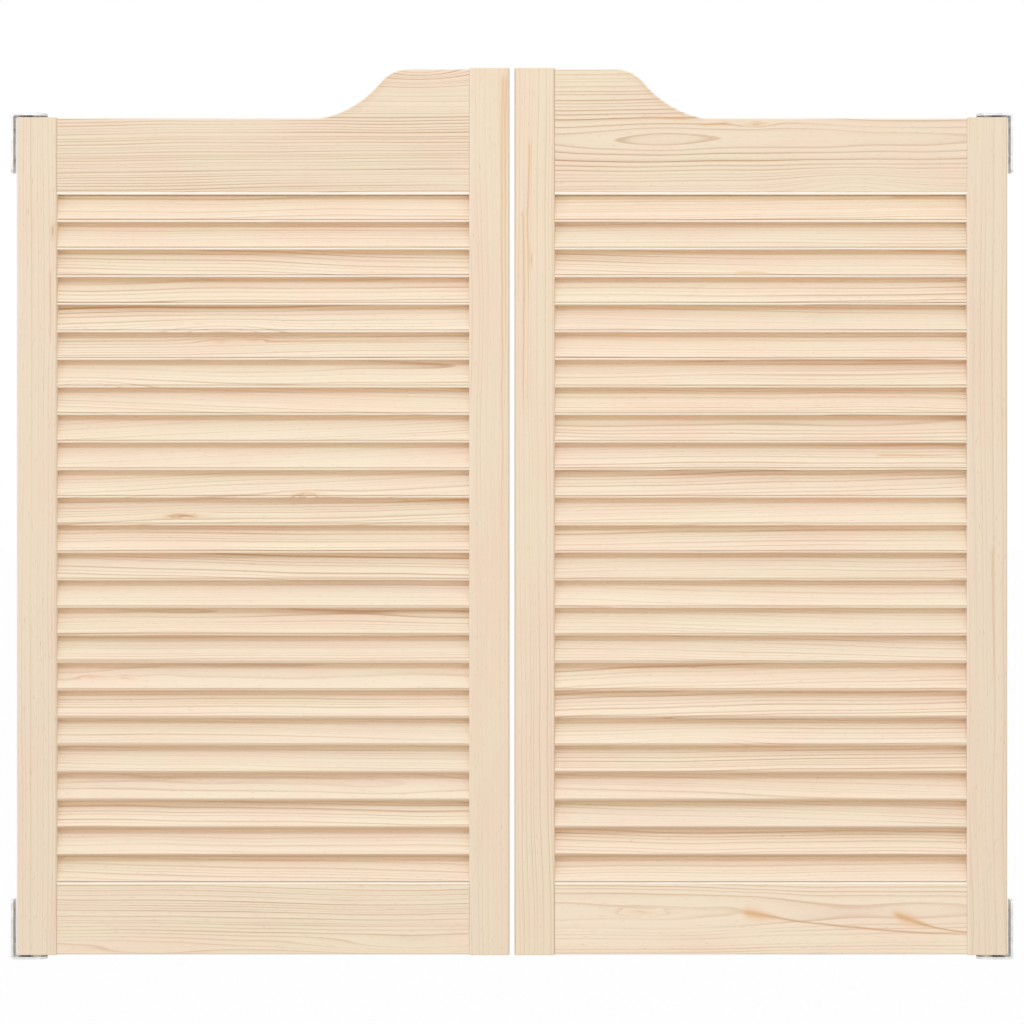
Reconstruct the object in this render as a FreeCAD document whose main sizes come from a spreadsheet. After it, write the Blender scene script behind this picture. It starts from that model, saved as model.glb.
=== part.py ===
import FreeCAD, Part
import os
import Sketcher

# A pair of louvred cafe doors hung between two jambs.  X runs across the opening, Z is up and
# the front of the doors faces -Y.  The origin lies under the middle of the opening, half way
# through the thickness of the doors, level with the underside of the bottom brackets.
# The left-hand pieces are modelled; the right-hand ones are their mirror images in X = 0.

SIZES = [
    # the two leaves and the opening that they hang in
    ("leaf_width", 500, "one leaf, across"),
    ("leaf_height", 900, "meeting stile, the tall side of a leaf"),
    ("crest_rise", 50, "from the low side of a leaf up to its tall side"),
    ("hinge_height", "=leaf_height - crest_rise", "hinge stile, the low side of a leaf"),
    ("leaf_thickness", 21, "stiles, front to back"),
    ("meeting_gap", 5, "between the two leaves"),
    ("jamb_gap", 6, "between a leaf and its jamb"),
    ("stile_width", 41, "both stiles"),
    ("arris_radius", 2, "long edges of the stiles"),
    ("end_chamfer", 0.6, "ends of the stiles"),
    # rails
    ("rail_thickness", 19.4, "rails lie just inside the faces of the stiles"),
    ("rail_radius", 1.5, "front and back edges of the rails"),
    ("head_setback", 0.8, "top rail below the ends of the stiles"),
    ("foot_setback", 1.7, "bottom rail above the ends of the stiles"),
    ("head_rail_depth", 75.2, "low part of the top rail"),
    ("louvre_base", 74, "top of the bottom rail above the foot of the stiles"),
    ("crest_run", 102, "high straight part of the top rail, from the meeting edge"),
    ("shoulder_run", 93, "width of the curve that joins the high and the low part"),
    ("crest_radius", 38, "upper, rounded part of that curve"),
    ("sweep_radius", 104, "lower, hollow part of that curve"),
    ("toe_radius", 30, "where the hollow part runs out into the low edge"),
    # louvres
    ("group_slats", 5, "slats in one group"),
    ("slat_groups", 5, "groups of slats in one leaf"),
    ("louvre_opening", "=hinge_height - head_setback - head_rail_depth - louvre_base",
     "between the rails"),
    ("louvre_pitch", "=louvre_opening / (group_slats * slat_groups)", "from slat to slat"),
    ("slat_thickness", 6, "both long edges are rounded to half of this"),
    ("slat_tilt", 25, "degrees off the vertical, lower edge to the front"),
    ("slat_lap", 4.3, "lower edge of a slat below the upper edge of the next one"),
    ("slat_width", "=(louvre_pitch + slat_lap - slat_thickness) / cos(slat_tilt) + slat_thickness",
     "a slat across its slope"),
    ("slat_drop", 2.6, "lower edge of a slat below its equal share of the opening"),
    ("slat_trim", 0.4, "lowest and topmost slat, planed level this far from the rails"),
    ("slat_housing", 8, "depth of the housings in the stiles"),
    ("slat_end_gap", 0.5, "slat end to the bottom of its housing"),
    ("slat_fit", 0.05, "all round a slat in its housing"),
    # dowels between rails and stiles
    ("dowel_diameter", 8, "beech dowels"),
    ("dowel_in_stile", 11, "clear of the pivot bores"),
    ("dowel_in_rail", 25, "deeper end of the dowel"),
    ("dowel_inset", 18, "outer dowels from the edges of the rail"),
    ("dowel_fit", 0.05, "all round a dowel"),
    ("dowel_end_gap", 0.5, "glue space at each end"),
    # jamb brackets
    ("bracket_gauge", 2.5, "bent steel strip"),
    ("bracket_width", 19, "width of the strip"),
    ("bracket_leg", 60, "leg on the jamb, from the outside of the arm"),
    ("bracket_bend", 1.5, "inside radius of the bend"),
    ("arm_tip", 9.5, "arm past the pivot"),
    ("arm_corner", 9, "corners at the end of the arm"),
    ("leg_corner", 3, "corners at the end of the leg"),
    ("arm_gap", 2, "between an arm and the end of the stile"),
    ("jamb_hole", 4.5, "diameter of the holes for the jamb screws"),
    ("jamb_head", 8.5, "diameter of their countersinks"),
    ("jamb_hole_start", 18, "first jamb hole from the outside of the arm"),
    ("jamb_hole_spacing", 30, "between the two jamb holes"),
    # plates let into the ends of the hinge stile
    ("plate_length", 35, "with round ends"),
    ("plate_width", 15, "plate across its length"),
    ("plate_gauge", 2, "let in flush"),
    ("plate_fit", 0.05, "all round a plate"),
    ("screw_spacing", 26, "the two wood screws of a plate"),
    ("screw_diameter", 3, "shank"),
    ("screw_head", 6, "countersunk head"),
    ("screw_length", 12, "over all"),
    ("screw_point", 3, "tapered end"),
    ("screw_slot", 0.8, "driver slot, width and depth"),
    # sprung pivot in the bottom of the hinge stile
    ("spindle_diameter", 6, "fixed in the bottom bracket"),
    ("spindle_reach", 50, "above the foot of the stile"),
    ("rivet_head", 9, "countersunk under the arm"),
    ("spindle_chamfer", 0.6, "top end"),
    ("running_fit", 0.05, "all round a turning pin"),
    ("thrust_fit", 0.1, "under the flange of the bush"),
    ("seat_fit", 0.02, "all round what is pressed in"),
    ("bush_diameter", 12, "neck of the bottom bush"),
    ("bush_flange", 16, "flange of the bottom bush"),
    ("bush_depth", 8, "neck above the foot of the stile"),
    ("barrel_diameter", 14, "spring barrel"),
    ("barrel_length", 60, "above its plate"),
    ("bore_end_gap", 0.5, "past the end of what a bore holds"),
    ("cap_gauge", 2, "cap over the end of the barrel"),
    ("cap_spigot", 3, "cap inside the barrel"),
    ("torsion_wire", 2, "torsion spring"),
    ("torsion_coil", 8.8, "mean diameter of its coils"),
    ("torsion_turns", 15, "whole turns"),
    ("torsion_pitch", 2.3, "from turn to turn"),
    ("torsion_start", 2.5, "first turn above the bush"),
    ("tang_end_gap", 0.2, "end of the spring inside the wall of the barrel"),
    # sprung pin in the top of the hinge stile
    ("pin_diameter", 8, "top pivot pin"),
    ("pin_proud", 1, "past the top bracket"),
    ("collar_diameter", 11.4, "holds the pin under its plate"),
    ("collar_height", 3, "collar of the pin"),
    ("stem_diameter", 5, "guides the spring"),
    ("stem_length", 13, "below the collar"),
    ("sleeve_diameter", 14, "cup that holds the spring"),
    ("sleeve_bore", 12, "inside of the cup"),
    ("sleeve_length", 44, "below its plate"),
    ("sleeve_base", 1.5, "closed end"),
    ("lift_wire", 1.2, "spring under the pin"),
    ("lift_coil", 8.2, "mean diameter of its coils"),
    ("lift_turns", 11, "whole turns"),
    ("lift_seat", 0.05, "each end of the spring"),
    ("top_bush_diameter", 11, "neck of the top bush"),
    ("top_bush_flange", 15, "flange of the top bush"),
    ("top_bush_gauge", 1, "thickness of that flange"),
]

document = FreeCAD.newDocument("cafe_doors")
sheet = document.addObject("Spreadsheet::Sheet", "Sizes")
for row, (alias, size, note) in enumerate(SIZES, start=1):
    sheet.set(f"A{row}", alias)
    sheet.set(f"B{row}", str(size))
    sheet.setAlias(f"B{row}", alias)
    sheet.set(f"C{row}", note)
document.recompute()

# Sizes that follow from the sheet, as expressions.
AXIS_X = "-(Sizes.meeting_gap / 2 + Sizes.leaf_width - Sizes.stile_width / 2)"
MEETING_X = "-(Sizes.meeting_gap / 2 + Sizes.stile_width / 2)"
RAIL_X = "-(Sizes.meeting_gap / 2 + Sizes.leaf_width - Sizes.stile_width)"
FOOT_Z = "(Sizes.bracket_gauge + Sizes.arm_gap)"
HEAD_Z = f"({FOOT_Z} + Sizes.hinge_height)"
RAIL_LENGTH = "(Sizes.leaf_width - 2 * Sizes.stile_width)"
GROUP_HEIGHT = "(Sizes.louvre_pitch * Sizes.group_slats)"
HEAD_BASE = "(Sizes.louvre_base + Sizes.louvre_opening)"
LOW_DEPTH = "Sizes.head_rail_depth"
HIGH_DEPTH = f"(Sizes.leaf_height - Sizes.head_setback - {HEAD_BASE})"
FOOT_DEPTH = "(Sizes.louvre_base - Sizes.foot_setback)"
SLAT_SPAN = "(Sizes.slat_width - Sizes.slat_thickness)"
SLAT_REACH = f"({SLAT_SPAN} / 2 * sin(Sizes.slat_tilt))"
SLAT_RISE = f"({SLAT_SPAN} * cos(Sizes.slat_tilt))"
SLAT_LENGTH = f"({RAIL_LENGTH} + 2 * (Sizes.slat_housing - Sizes.slat_end_gap))"
BORE_RADIUS = "(Sizes.barrel_diameter / 2 + Sizes.seat_fit)"
SLEEVE_BORE_RADIUS = "(Sizes.sleeve_diameter / 2 + Sizes.seat_fit)"
JAMB_X = "(Sizes.stile_width / 2 + Sizes.jamb_gap)"
TANG_LOW = "(Sizes.bush_depth + Sizes.torsion_start)"
TANG_TOP = f"({TANG_LOW} + Sizes.torsion_turns * Sizes.torsion_pitch)"
BARREL_BORE = "(Sizes.bush_diameter / 2 + Sizes.seat_fit)"
BARREL_END = "(Sizes.plate_gauge + Sizes.barrel_length)"


# ---- helpers ----

def value(expression):
    return float(sheet.evalExpression(expression))


def new_body(label):
    body = document.addObject("PartDesign::Body", label)
    body.Label = label
    return body


def origin_feature(body, role):
    return next(feature for feature in body.Origin.OriginFeatures if feature.Role == role)


def new_sketch(body, name, plane, offset=None):
    sketch = body.newObject("Sketcher::SketchObject", name)
    sketch.AttachmentSupport = (origin_feature(body, plane), [""])
    sketch.MapMode = "FlatFace"
    if offset is not None:
        sketch.setExpression("AttachmentOffset.Base.z", offset)
    return sketch


def hold(sketch, geometry, vertex, across, up):
    """Tie one point of a sketch to its own two expressions."""
    for kind, size, axis in (("DistanceX", across, -2), ("DistanceY", up, -1)):
        if size == "0":
            sketch.addConstraint(Sketcher.Constraint("PointOnObject", geometry, vertex, axis))
        else:
            index = sketch.addConstraint(
                Sketcher.Constraint(kind, -1, 1, geometry, vertex, value(size)))
            sketch.setExpression(f"Constraints[{index}]", size)


def hold_radius(sketch, geometry, radius):
    index = sketch.addConstraint(Sketcher.Constraint("Radius", geometry, value(radius)))
    sketch.setExpression(f"Constraints[{index}]", radius)


def outline(sketch, corners):
    """A closed outline of straight lines through corners given as pairs of expressions."""
    spots = [FreeCAD.Vector(value(across), value(up), 0) for across, up in corners]
    first = sketch.GeometryCount
    count = len(corners)
    for index in range(count):
        line = Part.LineSegment(spots[index], spots[(index + 1) % count])
        sketch.addGeometry(line, False)
    for index, (across, up) in enumerate(corners):
        here = first + index
        following = first + (index + 1) % count
        sketch.addConstraint(Sketcher.Constraint("Coincident", here, 2, following, 1))
        hold(sketch, here, 1, across, up)


def rectangle(sketch, left, right, bottom, top):
    outline(sketch, [(left, bottom), (right, bottom), (right, top), (left, top)])


def circle(sketch, across, up, radius):
    centre = FreeCAD.Vector(value(across), value(up), 0)
    geometry = sketch.addGeometry(Part.Circle(centre, FreeCAD.Vector(0, 0, 1), value(radius)), False)
    hold(sketch, geometry, 3, across, up)
    hold_radius(sketch, geometry, radius)


def stadium(sketch, start, end, radius):
    """Two half circles of one radius about start and end, joined by two tangent lines."""
    head = FreeCAD.Vector(value(end[0]), value(end[1]), 0)
    tail = FreeCAD.Vector(value(start[0]), value(start[1]), 0)
    along = head - tail
    heading = FreeCAD.Vector(1, 0, 0).getAngle(along)
    if along.y < 0:
        heading = -heading
    quarter = FreeCAD.Units.Quantity("90 deg").getValueAs("rad").Value
    side = FreeCAD.Vector(-along.y, along.x, 0).normalize() * value(radius)
    up = FreeCAD.Vector(0, 0, 1)
    head_circle = Part.Circle(head, up, value(radius))
    tail_circle = Part.Circle(tail, up, value(radius))
    head_arc = Part.ArcOfCircle(head_circle, heading - quarter, heading + quarter)
    tail_arc = Part.ArcOfCircle(tail_circle, heading + quarter, heading + 3 * quarter)
    left, cap, right, base = [sketch.addGeometry(shape, False) for shape in (
        Part.LineSegment(tail + side, head + side), head_arc,
        Part.LineSegment(head - side, tail - side), tail_arc)]
    for one, one_end, other, other_end in (
            (left, 2, cap, 2), (cap, 1, right, 1), (right, 2, base, 2), (base, 1, left, 1)):
        sketch.addConstraint(Sketcher.Constraint("Tangent", one, one_end, other, other_end))
    for arc, centre in ((cap, end), (base, start)):
        hold(sketch, arc, 3, *centre)
        hold_radius(sketch, arc, radius)


def pad(body, sketch, length, symmetric=False):
    feature = body.newObject("PartDesign::Pad", f"{sketch.Name}_pad")
    feature.Profile = sketch
    if symmetric:
        feature.SideType = "Symmetric"
    feature.setExpression("Length", length)
    return feature


def pocket(body, sketch, length, forwards=False):
    """Cut against the normal of the sketch, or along it when forwards is set."""
    feature = body.newObject("PartDesign::Pocket", f"{sketch.Name}_cut")
    feature.Profile = sketch
    feature.Reversed = forwards
    feature.setExpression("Length", length)
    return feature


def repeat_upwards(body, feature, count):
    pattern = body.newObject("PartDesign::LinearPattern", f"{feature.Name}_row")
    pattern.Originals = [feature]
    pattern.Direction = (origin_feature(body, "Z_Axis"), [""])
    pattern.Mode = "Spacing"
    pattern.setExpression("Offset", "Sizes.louvre_pitch")
    pattern.setExpression("Occurrences", count)
    body.Tip = pattern


def edge_names(shape, wanted):
    return [f"Edge{number}" for number, edge in enumerate(shape.Edges, start=1) if wanted(edge)]


def soften(body, kind, sizing, expression, wanted):
    """Fillet or chamfer the edges of the body so far that wanted() picks."""
    document.recompute()
    base = body.Tip
    feature = body.newObject(f"PartDesign::{kind}", f"{body.Name}_{kind.lower()}")
    feature.Base = (base, edge_names(base.Shape, wanted))
    feature.setExpression(sizing, expression)
    return feature


def countersink(body, sketch, diameter, head, forwards=False):
    document.recompute()
    hole = body.newObject("PartDesign::Hole", f"{sketch.Name}_hole")
    hole.Profile = sketch
    hole.Reversed = forwards
    hole.DepthType = "ThroughAll"
    hole.HoleCutType = "Countersink"
    hole.HoleCutCustomValues = True
    hole.HoleCutCountersinkAngle = 90
    hole.setExpression("Diameter", diameter)
    hole.setExpression("HoleCutDiameter", head)


def turned(label, profile):
    """A piece turned about Z from pairs of radius and height."""
    body = new_body(label)
    sketch = new_sketch(body, f"{label}_profile", "XZ_Plane")
    outline(sketch, profile)
    turning = body.newObject("PartDesign::Revolution", f"{label}_turning")
    turning.Profile = sketch
    turning.ReferenceAxis = (sketch, ["V_Axis"])
    turning.Angle = 360
    return body


def place(piece, across, up):
    piece.setExpression("Placement.Base.x", across)
    piece.setExpression("Placement.Base.z", up)
    return piece


def flat_edge(edge, axis, position):
    """True for an edge that lies wholly in the plane where axis has this position."""
    return all(abs(getattr(vertex.Point, axis) - position) < 1e-4 for vertex in edge.Vertexes)


# ---- stiles ----

def slat_section(sketch, clearance):
    """One slat seen from its end: lower edge to the front, upper edge to the back."""
    low = "(Sizes.slat_thickness / 2 - Sizes.slat_drop)"
    stadium(sketch, (f"-{SLAT_REACH}", low), (SLAT_REACH, f"({low} + {SLAT_RISE})"),
            f"(Sizes.slat_thickness / 2 + {clearance})")


def stile_blank(label, height):
    body = new_body(label)
    section = new_sketch(body, f"{label}_section", "XY_Plane")
    rectangle(section, "-Sizes.stile_width / 2", "Sizes.stile_width / 2",
              "-Sizes.leaf_thickness / 2", "Sizes.leaf_thickness / 2")
    pad(body, section, height)
    top = value(height)
    soften(body, "Fillet", "Radius", "Sizes.arris_radius",
           lambda edge: not flat_edge(edge, "z", 0) and not flat_edge(edge, "z", top))
    soften(body, "Chamfer", "Size", "Sizes.end_chamfer",
           lambda edge: flat_edge(edge, "z", 0) or flat_edge(edge, "z", top))
    return body


def house_slats(body, inner_face, forwards):
    """The row of sloping housings that the slats stand in."""
    label = body.Label
    section = new_sketch(body, f"{label}_housing", "YZ_Plane", inner_face)
    slat_section(section, "Sizes.slat_fit")
    section.setExpression("AttachmentOffset.Base.y", "Sizes.louvre_base")
    housing = pocket(body, section, "Sizes.slat_housing", forwards)
    repeat_upwards(body, housing, "Sizes.group_slats * Sizes.slat_groups")


def rail_dowel_heights(depth):
    """Heights of the dowels of a rail above its lower edge: two, or three in a deep rail."""
    heights = ["Sizes.dowel_inset", f"({depth} - Sizes.dowel_inset)"]
    if depth == HIGH_DEPTH:
        heights.insert(1, f"({depth} / 2)")
    return heights


def stile_dowel_heights(head_depth):
    low = [f"(Sizes.foot_setback + {height})" for height in rail_dowel_heights(FOOT_DEPTH)]
    high = [f"({HEAD_BASE} + {height})" for height in rail_dowel_heights(head_depth)]
    return low + high


def bore_dowels(body, name, face, heights, depth, forwards):
    holes = new_sketch(body, f"{body.Label}_{name}", "YZ_Plane", face)
    for height in heights:
        circle(holes, "0", height, "Sizes.dowel_diameter / 2 + Sizes.dowel_fit")
    pocket(body, holes, f"{depth} + Sizes.dowel_end_gap", forwards)


def plate_outline(sketch, clearance):
    """Outline of an end plate, along X, with round ends."""
    reach = "((Sizes.plate_length - Sizes.plate_width) / 2)"
    stadium(sketch, (f"-{reach}", "0"), (reach, "0"), f"(Sizes.plate_width / 2 + {clearance})")


def let_in_pivot(body, end, height, radius, depth, forwards):
    """Recess, bore and screw holes for the pivot in one end of the hinge stile."""
    recess = new_sketch(body, f"{end}_recess", "XY_Plane", height)
    plate_outline(recess, "Sizes.plate_fit")
    pocket(body, recess, "Sizes.plate_gauge", forwards)
    bore = new_sketch(body, f"{end}_bore", "XY_Plane", height)
    circle(bore, "0", "0", radius)
    pocket(body, bore, f"Sizes.plate_gauge + {depth} + Sizes.bore_end_gap", forwards)
    pilots = new_sketch(body, f"{end}_pilots", "XY_Plane", height)
    for side in ("-", ""):
        circle(pilots, f"{side}Sizes.screw_spacing / 2", "0",
               "Sizes.screw_diameter / 2 + Sizes.seat_fit")
    pocket(body, pilots, "Sizes.screw_length + Sizes.bore_end_gap", forwards)


def hinge_stile():
    inner_face = "Sizes.stile_width / 2"
    body = stile_blank("left_hinge_stile", "Sizes.hinge_height")
    house_slats(body, inner_face, False)
    bore_dowels(body, "dowel_holes", inner_face, stile_dowel_heights(LOW_DEPTH),
                "Sizes.dowel_in_stile", False)
    let_in_pivot(body, "foot", "0", BORE_RADIUS, "Sizes.barrel_length + Sizes.cap_gauge", True)
    let_in_pivot(body, "head", "Sizes.hinge_height", SLEEVE_BORE_RADIUS,
                 "Sizes.sleeve_length", False)
    return place(body, AXIS_X, FOOT_Z)


def meeting_stile():
    inner_face = "-Sizes.stile_width / 2"
    body = stile_blank("left_meeting_stile", "Sizes.leaf_height")
    house_slats(body, inner_face, True)
    bore_dowels(body, "dowel_holes", inner_face, stile_dowel_heights(HIGH_DEPTH),
                "Sizes.dowel_in_stile", True)
    return place(body, MEETING_X, FOOT_Z)


# ---- rails ----

def meet(centre, reach, other, other_reach):
    """Point at these two distances from two centres, on the left going from the first."""
    span = other - centre
    along = (span.Length ** 2 + reach ** 2 - other_reach ** 2) / (2 * span.Length)
    aside = (reach ** 2 - along ** 2) ** 0.5
    unit = FreeCAD.Vector(span).normalize()
    return centre + unit * along + FreeCAD.Vector(-unit.y, unit.x, 0) * aside


def arc_between(centre, radius, start, end):
    """Arc about centre, anticlockwise from the direction of start to that of end."""
    axis = FreeCAD.Vector(1, 0, 0)
    angles = []
    for point in (start, end):
        arm = point - centre
        angles.append(axis.getAngle(arm) if arm.y >= 0 else -axis.getAngle(arm))
    return Part.ArcOfCircle(Part.Circle(centre, FreeCAD.Vector(0, 0, 1), radius), *angles)


def shoulder(sketch):
    """Outline of the top rail: low at the hinge side, then a curve up to the high crest."""
    crest_x = f"({RAIL_LENGTH} + Sizes.stile_width - Sizes.crest_run)"
    toe_x = f"({crest_x} - Sizes.shoulder_run)"
    crest_radius = value("Sizes.crest_radius")
    sweep_radius = value("Sizes.sweep_radius")
    toe_radius = value("Sizes.toe_radius")
    low = value(LOW_DEPTH)
    high = value(HIGH_DEPTH)
    length = value(RAIL_LENGTH)
    crest_end = FreeCAD.Vector(value(crest_x), high, 0)
    toe_end = FreeCAD.Vector(value(toe_x), low, 0)
    crest_centre = crest_end - FreeCAD.Vector(0, crest_radius, 0)
    toe_centre = toe_end + FreeCAD.Vector(0, toe_radius, 0)
    sweep_centre = meet(toe_centre, sweep_radius - toe_radius,
                        crest_centre, sweep_radius + crest_radius)
    upper_joint = crest_centre + (sweep_centre - crest_centre).normalize() * crest_radius
    lower_joint = sweep_centre + (toe_centre - sweep_centre).normalize() * sweep_radius
    corners = [FreeCAD.Vector(*spot) for spot in ((0, low), (0, 0), (length, 0), (length, high))]
    hinge_end, foot, meeting_end, crest, crest_arc, sweep_arc, toe_arc, low_edge = [
        sketch.addGeometry(shape, False) for shape in (
            Part.LineSegment(corners[0], corners[1]),
            Part.LineSegment(corners[1], corners[2]),
            Part.LineSegment(corners[2], corners[3]),
            Part.LineSegment(corners[3], crest_end),
            arc_between(crest_centre, crest_radius, crest_end, upper_joint),
            arc_between(sweep_centre, sweep_radius, lower_joint, upper_joint),
            arc_between(toe_centre, toe_radius, toe_end, lower_joint),
            Part.LineSegment(toe_end, corners[0]))]
    for one, one_end, other, other_end in (
            (hinge_end, 2, foot, 1), (foot, 2, meeting_end, 1), (meeting_end, 2, crest, 1),
            (low_edge, 2, hinge_end, 1)):
        sketch.addConstraint(Sketcher.Constraint("Coincident", one, one_end, other, other_end))
    for one, one_end, other, other_end in (
            (crest, 2, crest_arc, 1), (crest_arc, 2, sweep_arc, 2),
            (sweep_arc, 1, toe_arc, 2), (toe_arc, 1, low_edge, 1)):
        sketch.addConstraint(Sketcher.Constraint("Tangent", one, one_end, other, other_end))
    hold_radius(sketch, crest_arc, "Sizes.crest_radius")
    hold_radius(sketch, sweep_arc, "Sizes.sweep_radius")
    hold_radius(sketch, toe_arc, "Sizes.toe_radius")
    hold(sketch, foot, 1, "0", "0")
    hold(sketch, foot, 2, RAIL_LENGTH, "0")
    hold(sketch, crest, 1, RAIL_LENGTH, HIGH_DEPTH)
    hold(sketch, crest, 2, crest_x, HIGH_DEPTH)
    hold(sketch, low_edge, 1, toe_x, LOW_DEPTH)
    hold(sketch, low_edge, 2, "0", LOW_DEPTH)


def ease_rail(body):
    """Round the long edges of a rail, front and back, but not its ends."""
    half = value("Sizes.rail_thickness") / 2
    length = value(RAIL_LENGTH)
    soften(body, "Fillet", "Radius", "Sizes.rail_radius",
           lambda edge: (flat_edge(edge, "y", half) or flat_edge(edge, "y", -half))
           and not flat_edge(edge, "x", 0) and not flat_edge(edge, "x", length))


def dowel_rail(body, hinge_depth, meeting_depth):
    bore_dowels(body, "hinge_dowel_holes", "0", rail_dowel_heights(hinge_depth),
                "Sizes.dowel_in_rail", True)
    bore_dowels(body, "meeting_dowel_holes", RAIL_LENGTH, rail_dowel_heights(meeting_depth),
                "Sizes.dowel_in_rail", False)


def top_rail():
    body = new_body("left_top_rail")
    face = new_sketch(body, "top_rail_face", "XZ_Plane")
    shoulder(face)
    pad(body, face, "Sizes.rail_thickness", symmetric=True)
    ease_rail(body)
    dowel_rail(body, LOW_DEPTH, HIGH_DEPTH)
    return place(body, RAIL_X, f"{FOOT_Z} + {HEAD_BASE}")


def bottom_rail():
    body = new_body("left_bottom_rail")
    face = new_sketch(body, "bottom_rail_face", "XZ_Plane")
    rectangle(face, "0", RAIL_LENGTH, "0", FOOT_DEPTH)
    pad(body, face, "Sizes.rail_thickness", symmetric=True)
    ease_rail(body)
    dowel_rail(body, FOOT_DEPTH, FOOT_DEPTH)
    return place(body, RAIL_X, f"{FOOT_Z} + Sizes.foot_setback")


def rail_dowels():
    """All dowels of one leaf, lying along X across the joints."""
    hinge_joint = RAIL_X
    meeting_joint = f"({RAIL_X} + {RAIL_LENGTH})"
    joints = [(hinge_joint, "Sizes.dowel_in_stile", stile_dowel_heights(LOW_DEPTH)),
              (meeting_joint, "Sizes.dowel_in_rail", stile_dowel_heights(HIGH_DEPTH))]
    dowels = []
    for joint, before, heights in joints:
        for height in heights:
            dowel = document.addObject("Part::Cylinder", "dowel")
            dowel.setExpression("Radius", "Sizes.dowel_diameter / 2")
            dowel.setExpression("Height", "Sizes.dowel_in_stile + Sizes.dowel_in_rail")
            dowel.Placement.Rotation = FreeCAD.Rotation(FreeCAD.Vector(0, 1, 0), 90)
            place(dowel, f"{joint} - {before}", f"{FOOT_Z} + {height}")
            dowels.append(dowel)
    group = document.addObject("Part::Compound", "left_rail_dowels")
    group.Links = dowels
    return group


# ---- louvres ----

def plane_level(body, name, height, upwards):
    """Take away everything above this height, or below it."""
    level = new_sketch(body, name, "XY_Plane", height)
    rectangle(level, "-Sizes.slat_housing", f"{RAIL_LENGTH} + Sizes.slat_housing",
              "-Sizes.leaf_thickness / 2", "Sizes.leaf_thickness / 2")
    pocket(body, level, "Sizes.slat_width", upwards)


def louvre_group(number, groups):
    """A group of equal slats; those next to the rails are planed level."""
    slats = int(value("Sizes.group_slats"))
    first = (number - 1) * slats + 1
    label = f"left_louvres_{first:02d}_{first + slats - 1:02d}"
    body = new_body(label)
    section = new_sketch(body, f"{label}_section", "YZ_Plane",
                         "Sizes.slat_end_gap - Sizes.slat_housing")
    slat_section(section, "0")
    slat = pad(body, section, SLAT_LENGTH)
    repeat_upwards(body, slat, "Sizes.group_slats")
    if number == 1:
        plane_level(body, f"{label}_foot", "Sizes.slat_trim", False)
    if number == groups:
        plane_level(body, f"{label}_head", f"{GROUP_HEIGHT} - Sizes.slat_trim", True)
    base = f"{FOOT_Z} + Sizes.louvre_base + {number - 1} * {GROUP_HEIGHT}"
    return place(body, RAIL_X, base)


# ---- jamb brackets ----

def bracket(label, flip):
    """Bent strip: an arm over the end of the stile and a leg on the jamb.

    The height 0 is the outside of the arm.  The leg stands up from it, or hangs down
    where flip is "-".
    """
    body = new_body(label)
    side = new_sketch(body, f"{label}_side", "XZ_Plane")
    outline(side, [(f"-{JAMB_X}", "0"),
                   ("Sizes.arm_tip", "0"),
                   ("Sizes.arm_tip", f"{flip}Sizes.bracket_gauge"),
                   (f"Sizes.bracket_gauge - {JAMB_X}", f"{flip}Sizes.bracket_gauge"),
                   (f"Sizes.bracket_gauge - {JAMB_X}", f"{flip}Sizes.bracket_leg"),
                   (f"-{JAMB_X}", f"{flip}Sizes.bracket_leg")])
    pad(body, side, "Sizes.bracket_width", symmetric=True)
    jamb = -value(JAMB_X)
    tip = value("Sizes.arm_tip")
    gauge = value("Sizes.bracket_gauge")
    far = value(f"{flip}Sizes.bracket_leg")
    near = value(f"{flip}Sizes.bracket_gauge")
    soften(body, "Fillet", "Radius", "Sizes.bracket_bend",
           lambda edge: flat_edge(edge, "x", jamb + gauge) and flat_edge(edge, "z", near))
    soften(body, "Fillet", "Radius", "Sizes.bracket_bend + Sizes.bracket_gauge",
           lambda edge: flat_edge(edge, "x", jamb) and flat_edge(edge, "z", 0))
    soften(body, "Fillet", "Radius", "Sizes.arm_corner",
           lambda edge: flat_edge(edge, "x", tip) and not flat_edge(edge, "z", 0)
           and not flat_edge(edge, "z", near))
    soften(body, "Fillet", "Radius", "Sizes.leg_corner",
           lambda edge: flat_edge(edge, "z", far) and edge.BoundBox.XLength > gauge / 2)
    holes = new_sketch(body, f"{label}_jamb_holes", "YZ_Plane", f"Sizes.bracket_gauge - {JAMB_X}")
    for height in ("Sizes.jamb_hole_start", "(Sizes.jamb_hole_start + Sizes.jamb_hole_spacing)"):
        circle(holes, "0", f"{flip}{height}", "Sizes.jamb_hole / 2")
    countersink(body, holes, "Sizes.jamb_hole", "Sizes.jamb_head")
    return body


def bottom_bracket():
    body = bracket("left_bottom_bracket", "")
    seat = new_sketch(body, "spindle_seat", "XY_Plane", "0")
    circle(seat, "0", "0", "Sizes.spindle_diameter / 2")
    countersink(body, seat, "Sizes.spindle_diameter + 2 * Sizes.seat_fit",
                "Sizes.rivet_head + 2 * Sizes.seat_fit", True)
    return place(body, AXIS_X, "0")


def top_bracket():
    body = bracket("left_top_bracket", "-")
    seat = new_sketch(body, "bush_seat", "XY_Plane", "0")
    circle(seat, "0", "0", "Sizes.top_bush_diameter / 2 + Sizes.seat_fit")
    pocket(body, seat, "Sizes.bracket_gauge")
    return place(body, AXIS_X, f"{HEAD_Z} + Sizes.arm_gap + Sizes.bracket_gauge")


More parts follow.
